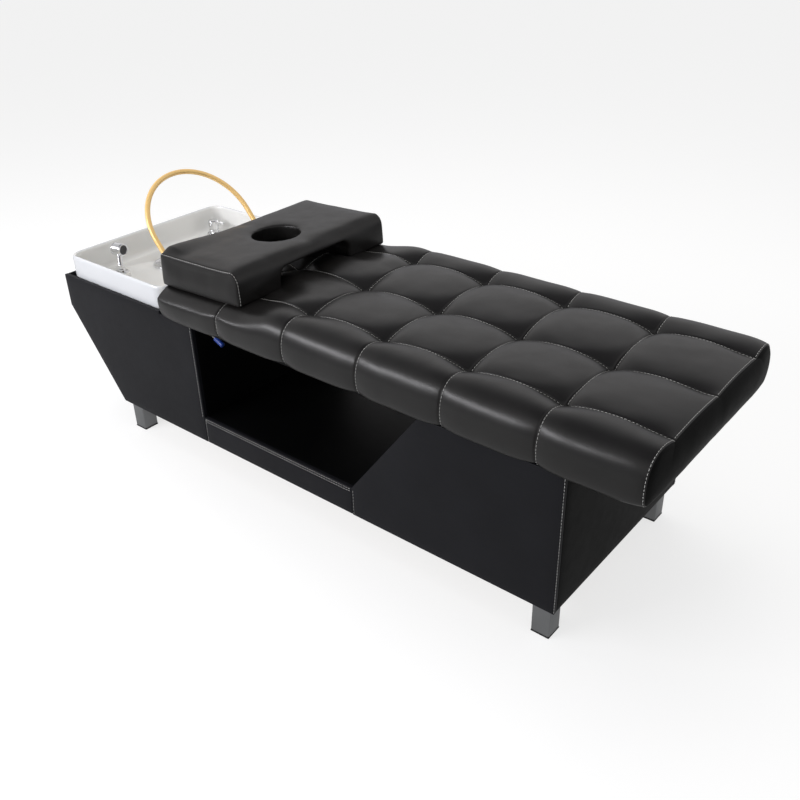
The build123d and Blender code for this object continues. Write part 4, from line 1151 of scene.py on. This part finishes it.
def overTop(form, x):  # shots for a seam over the mattress, from the near side to the far one
    turn, half, count = form["sideTurn"], form["topHalf"], form["topSteps"]
    near, far = (arcShots(Vector((x, side * turn["y"], turn["z"])), Vector((0, side, 0)), turn) for side in (-1, 1))
    middle = [down(form, x, blendTo(-half, half, step / count)) for step in range(count + 1)]
    return near[:-1] + middle + far[-2::-1]


def sewMattress(form, shape):
    chance = random.Random(form["seed"])
    trees = surfaceOf(mattress)
    bm = bmesh.new()
    last, count = shape["footSeam"], form["lengthSteps"]
    for column in range(shape["columns"]):
        x = last - shape["pitch"] * column + (form["offset"] if column else -form["offset"])
        sewRow(bm, landings(trees, overTop(form, x)), form, chance)
    first = last - shape["pitch"] * shape["columns"]
    for y in (-shape["row"], 0, shape["row"]):
        shots = [down(form, blendTo(first, last, step / count), y - form["offset"]) for step in range(count + 1)]
        sewRow(bm, landings(trees, shots), form, chance)
    makePiece("mattress_stitching", bm, "thread", "bed", (), 180)


def sewPillow(form, shape):
    chance = random.Random(form["seed"] + 1)
    trees = surfaceOf(pillow)
    bm = bmesh.new()
    turn = form["pillowTurn"]
    for side in (-1, 1):
        centre = Vector((shape["hole"][0], side * (shape["seamY"] - form["pillowOffset"]), turn["z"]))
        sewRow(bm, landings(trees, arcShots(centre, Vector((1, 0, 0)), turn)), form, chance)
    makePiece("pillow_stitching", bm, "thread", "pillow", (), 180)


def sewBoards(form, sizes):
    chance = random.Random(form["seed"] + 2)
    trees = surfaceOf(*boards)
    bm = bmesh.new()

    def straight(start, end, way):
        count = max(8, int((end - start).length / form["boardSpacing"]))
        starts = [start.lerp(end, step / count) for step in range(count + 1)]
        sewRow(bm, landings(trees, [(spot, spot + way) for spot in starts]), form, chance)

    gap, panelTop = form["endGap"], form["panelTop"]
    low, railTop = sizes["low"] + gap, sizes["railTop"]
    panel = sizes["bayHead"] - form["panelInset"]
    rails = [sizes[key] + form["railInset"] for key in ("bayHead", "bayFoot")]
    seams = [(panel, railTop, panel, panelTop)] + [(x, low, x, railTop - gap) for x in rails]
    railHead, railFoot = sizes["bayHead"] + form["panelInset"], sizes["bayFoot"] - gap
    seams += [(railHead, railTop - drop, railFoot, railTop - drop) for drop in form["railDrops"]]
    for side in (-1, 1):
        y = side * form["outside"]
        for startX, startZ, endX, endZ in seams:
            straight(Vector((startX, y, startZ)), Vector((endX, y, endZ)), Vector((0, -side, 0)))
        reach = form["cornerReach"]
        corner = Vector((sizes["foot"] + reach, side * (sizes["half"] + reach), low))
        straight(corner, corner + Vector((0, 0, panelTop - low)), Vector((-1, -side, 0)))
    makePiece("frame_stitching", bm, "thread", "bed", (), 180)


sewMattress(stitchForm, mattressForm)
sewPillow(stitchForm, pillowForm)
sewBoards(stitchForm, frameSizes)
print("seams are stitched")
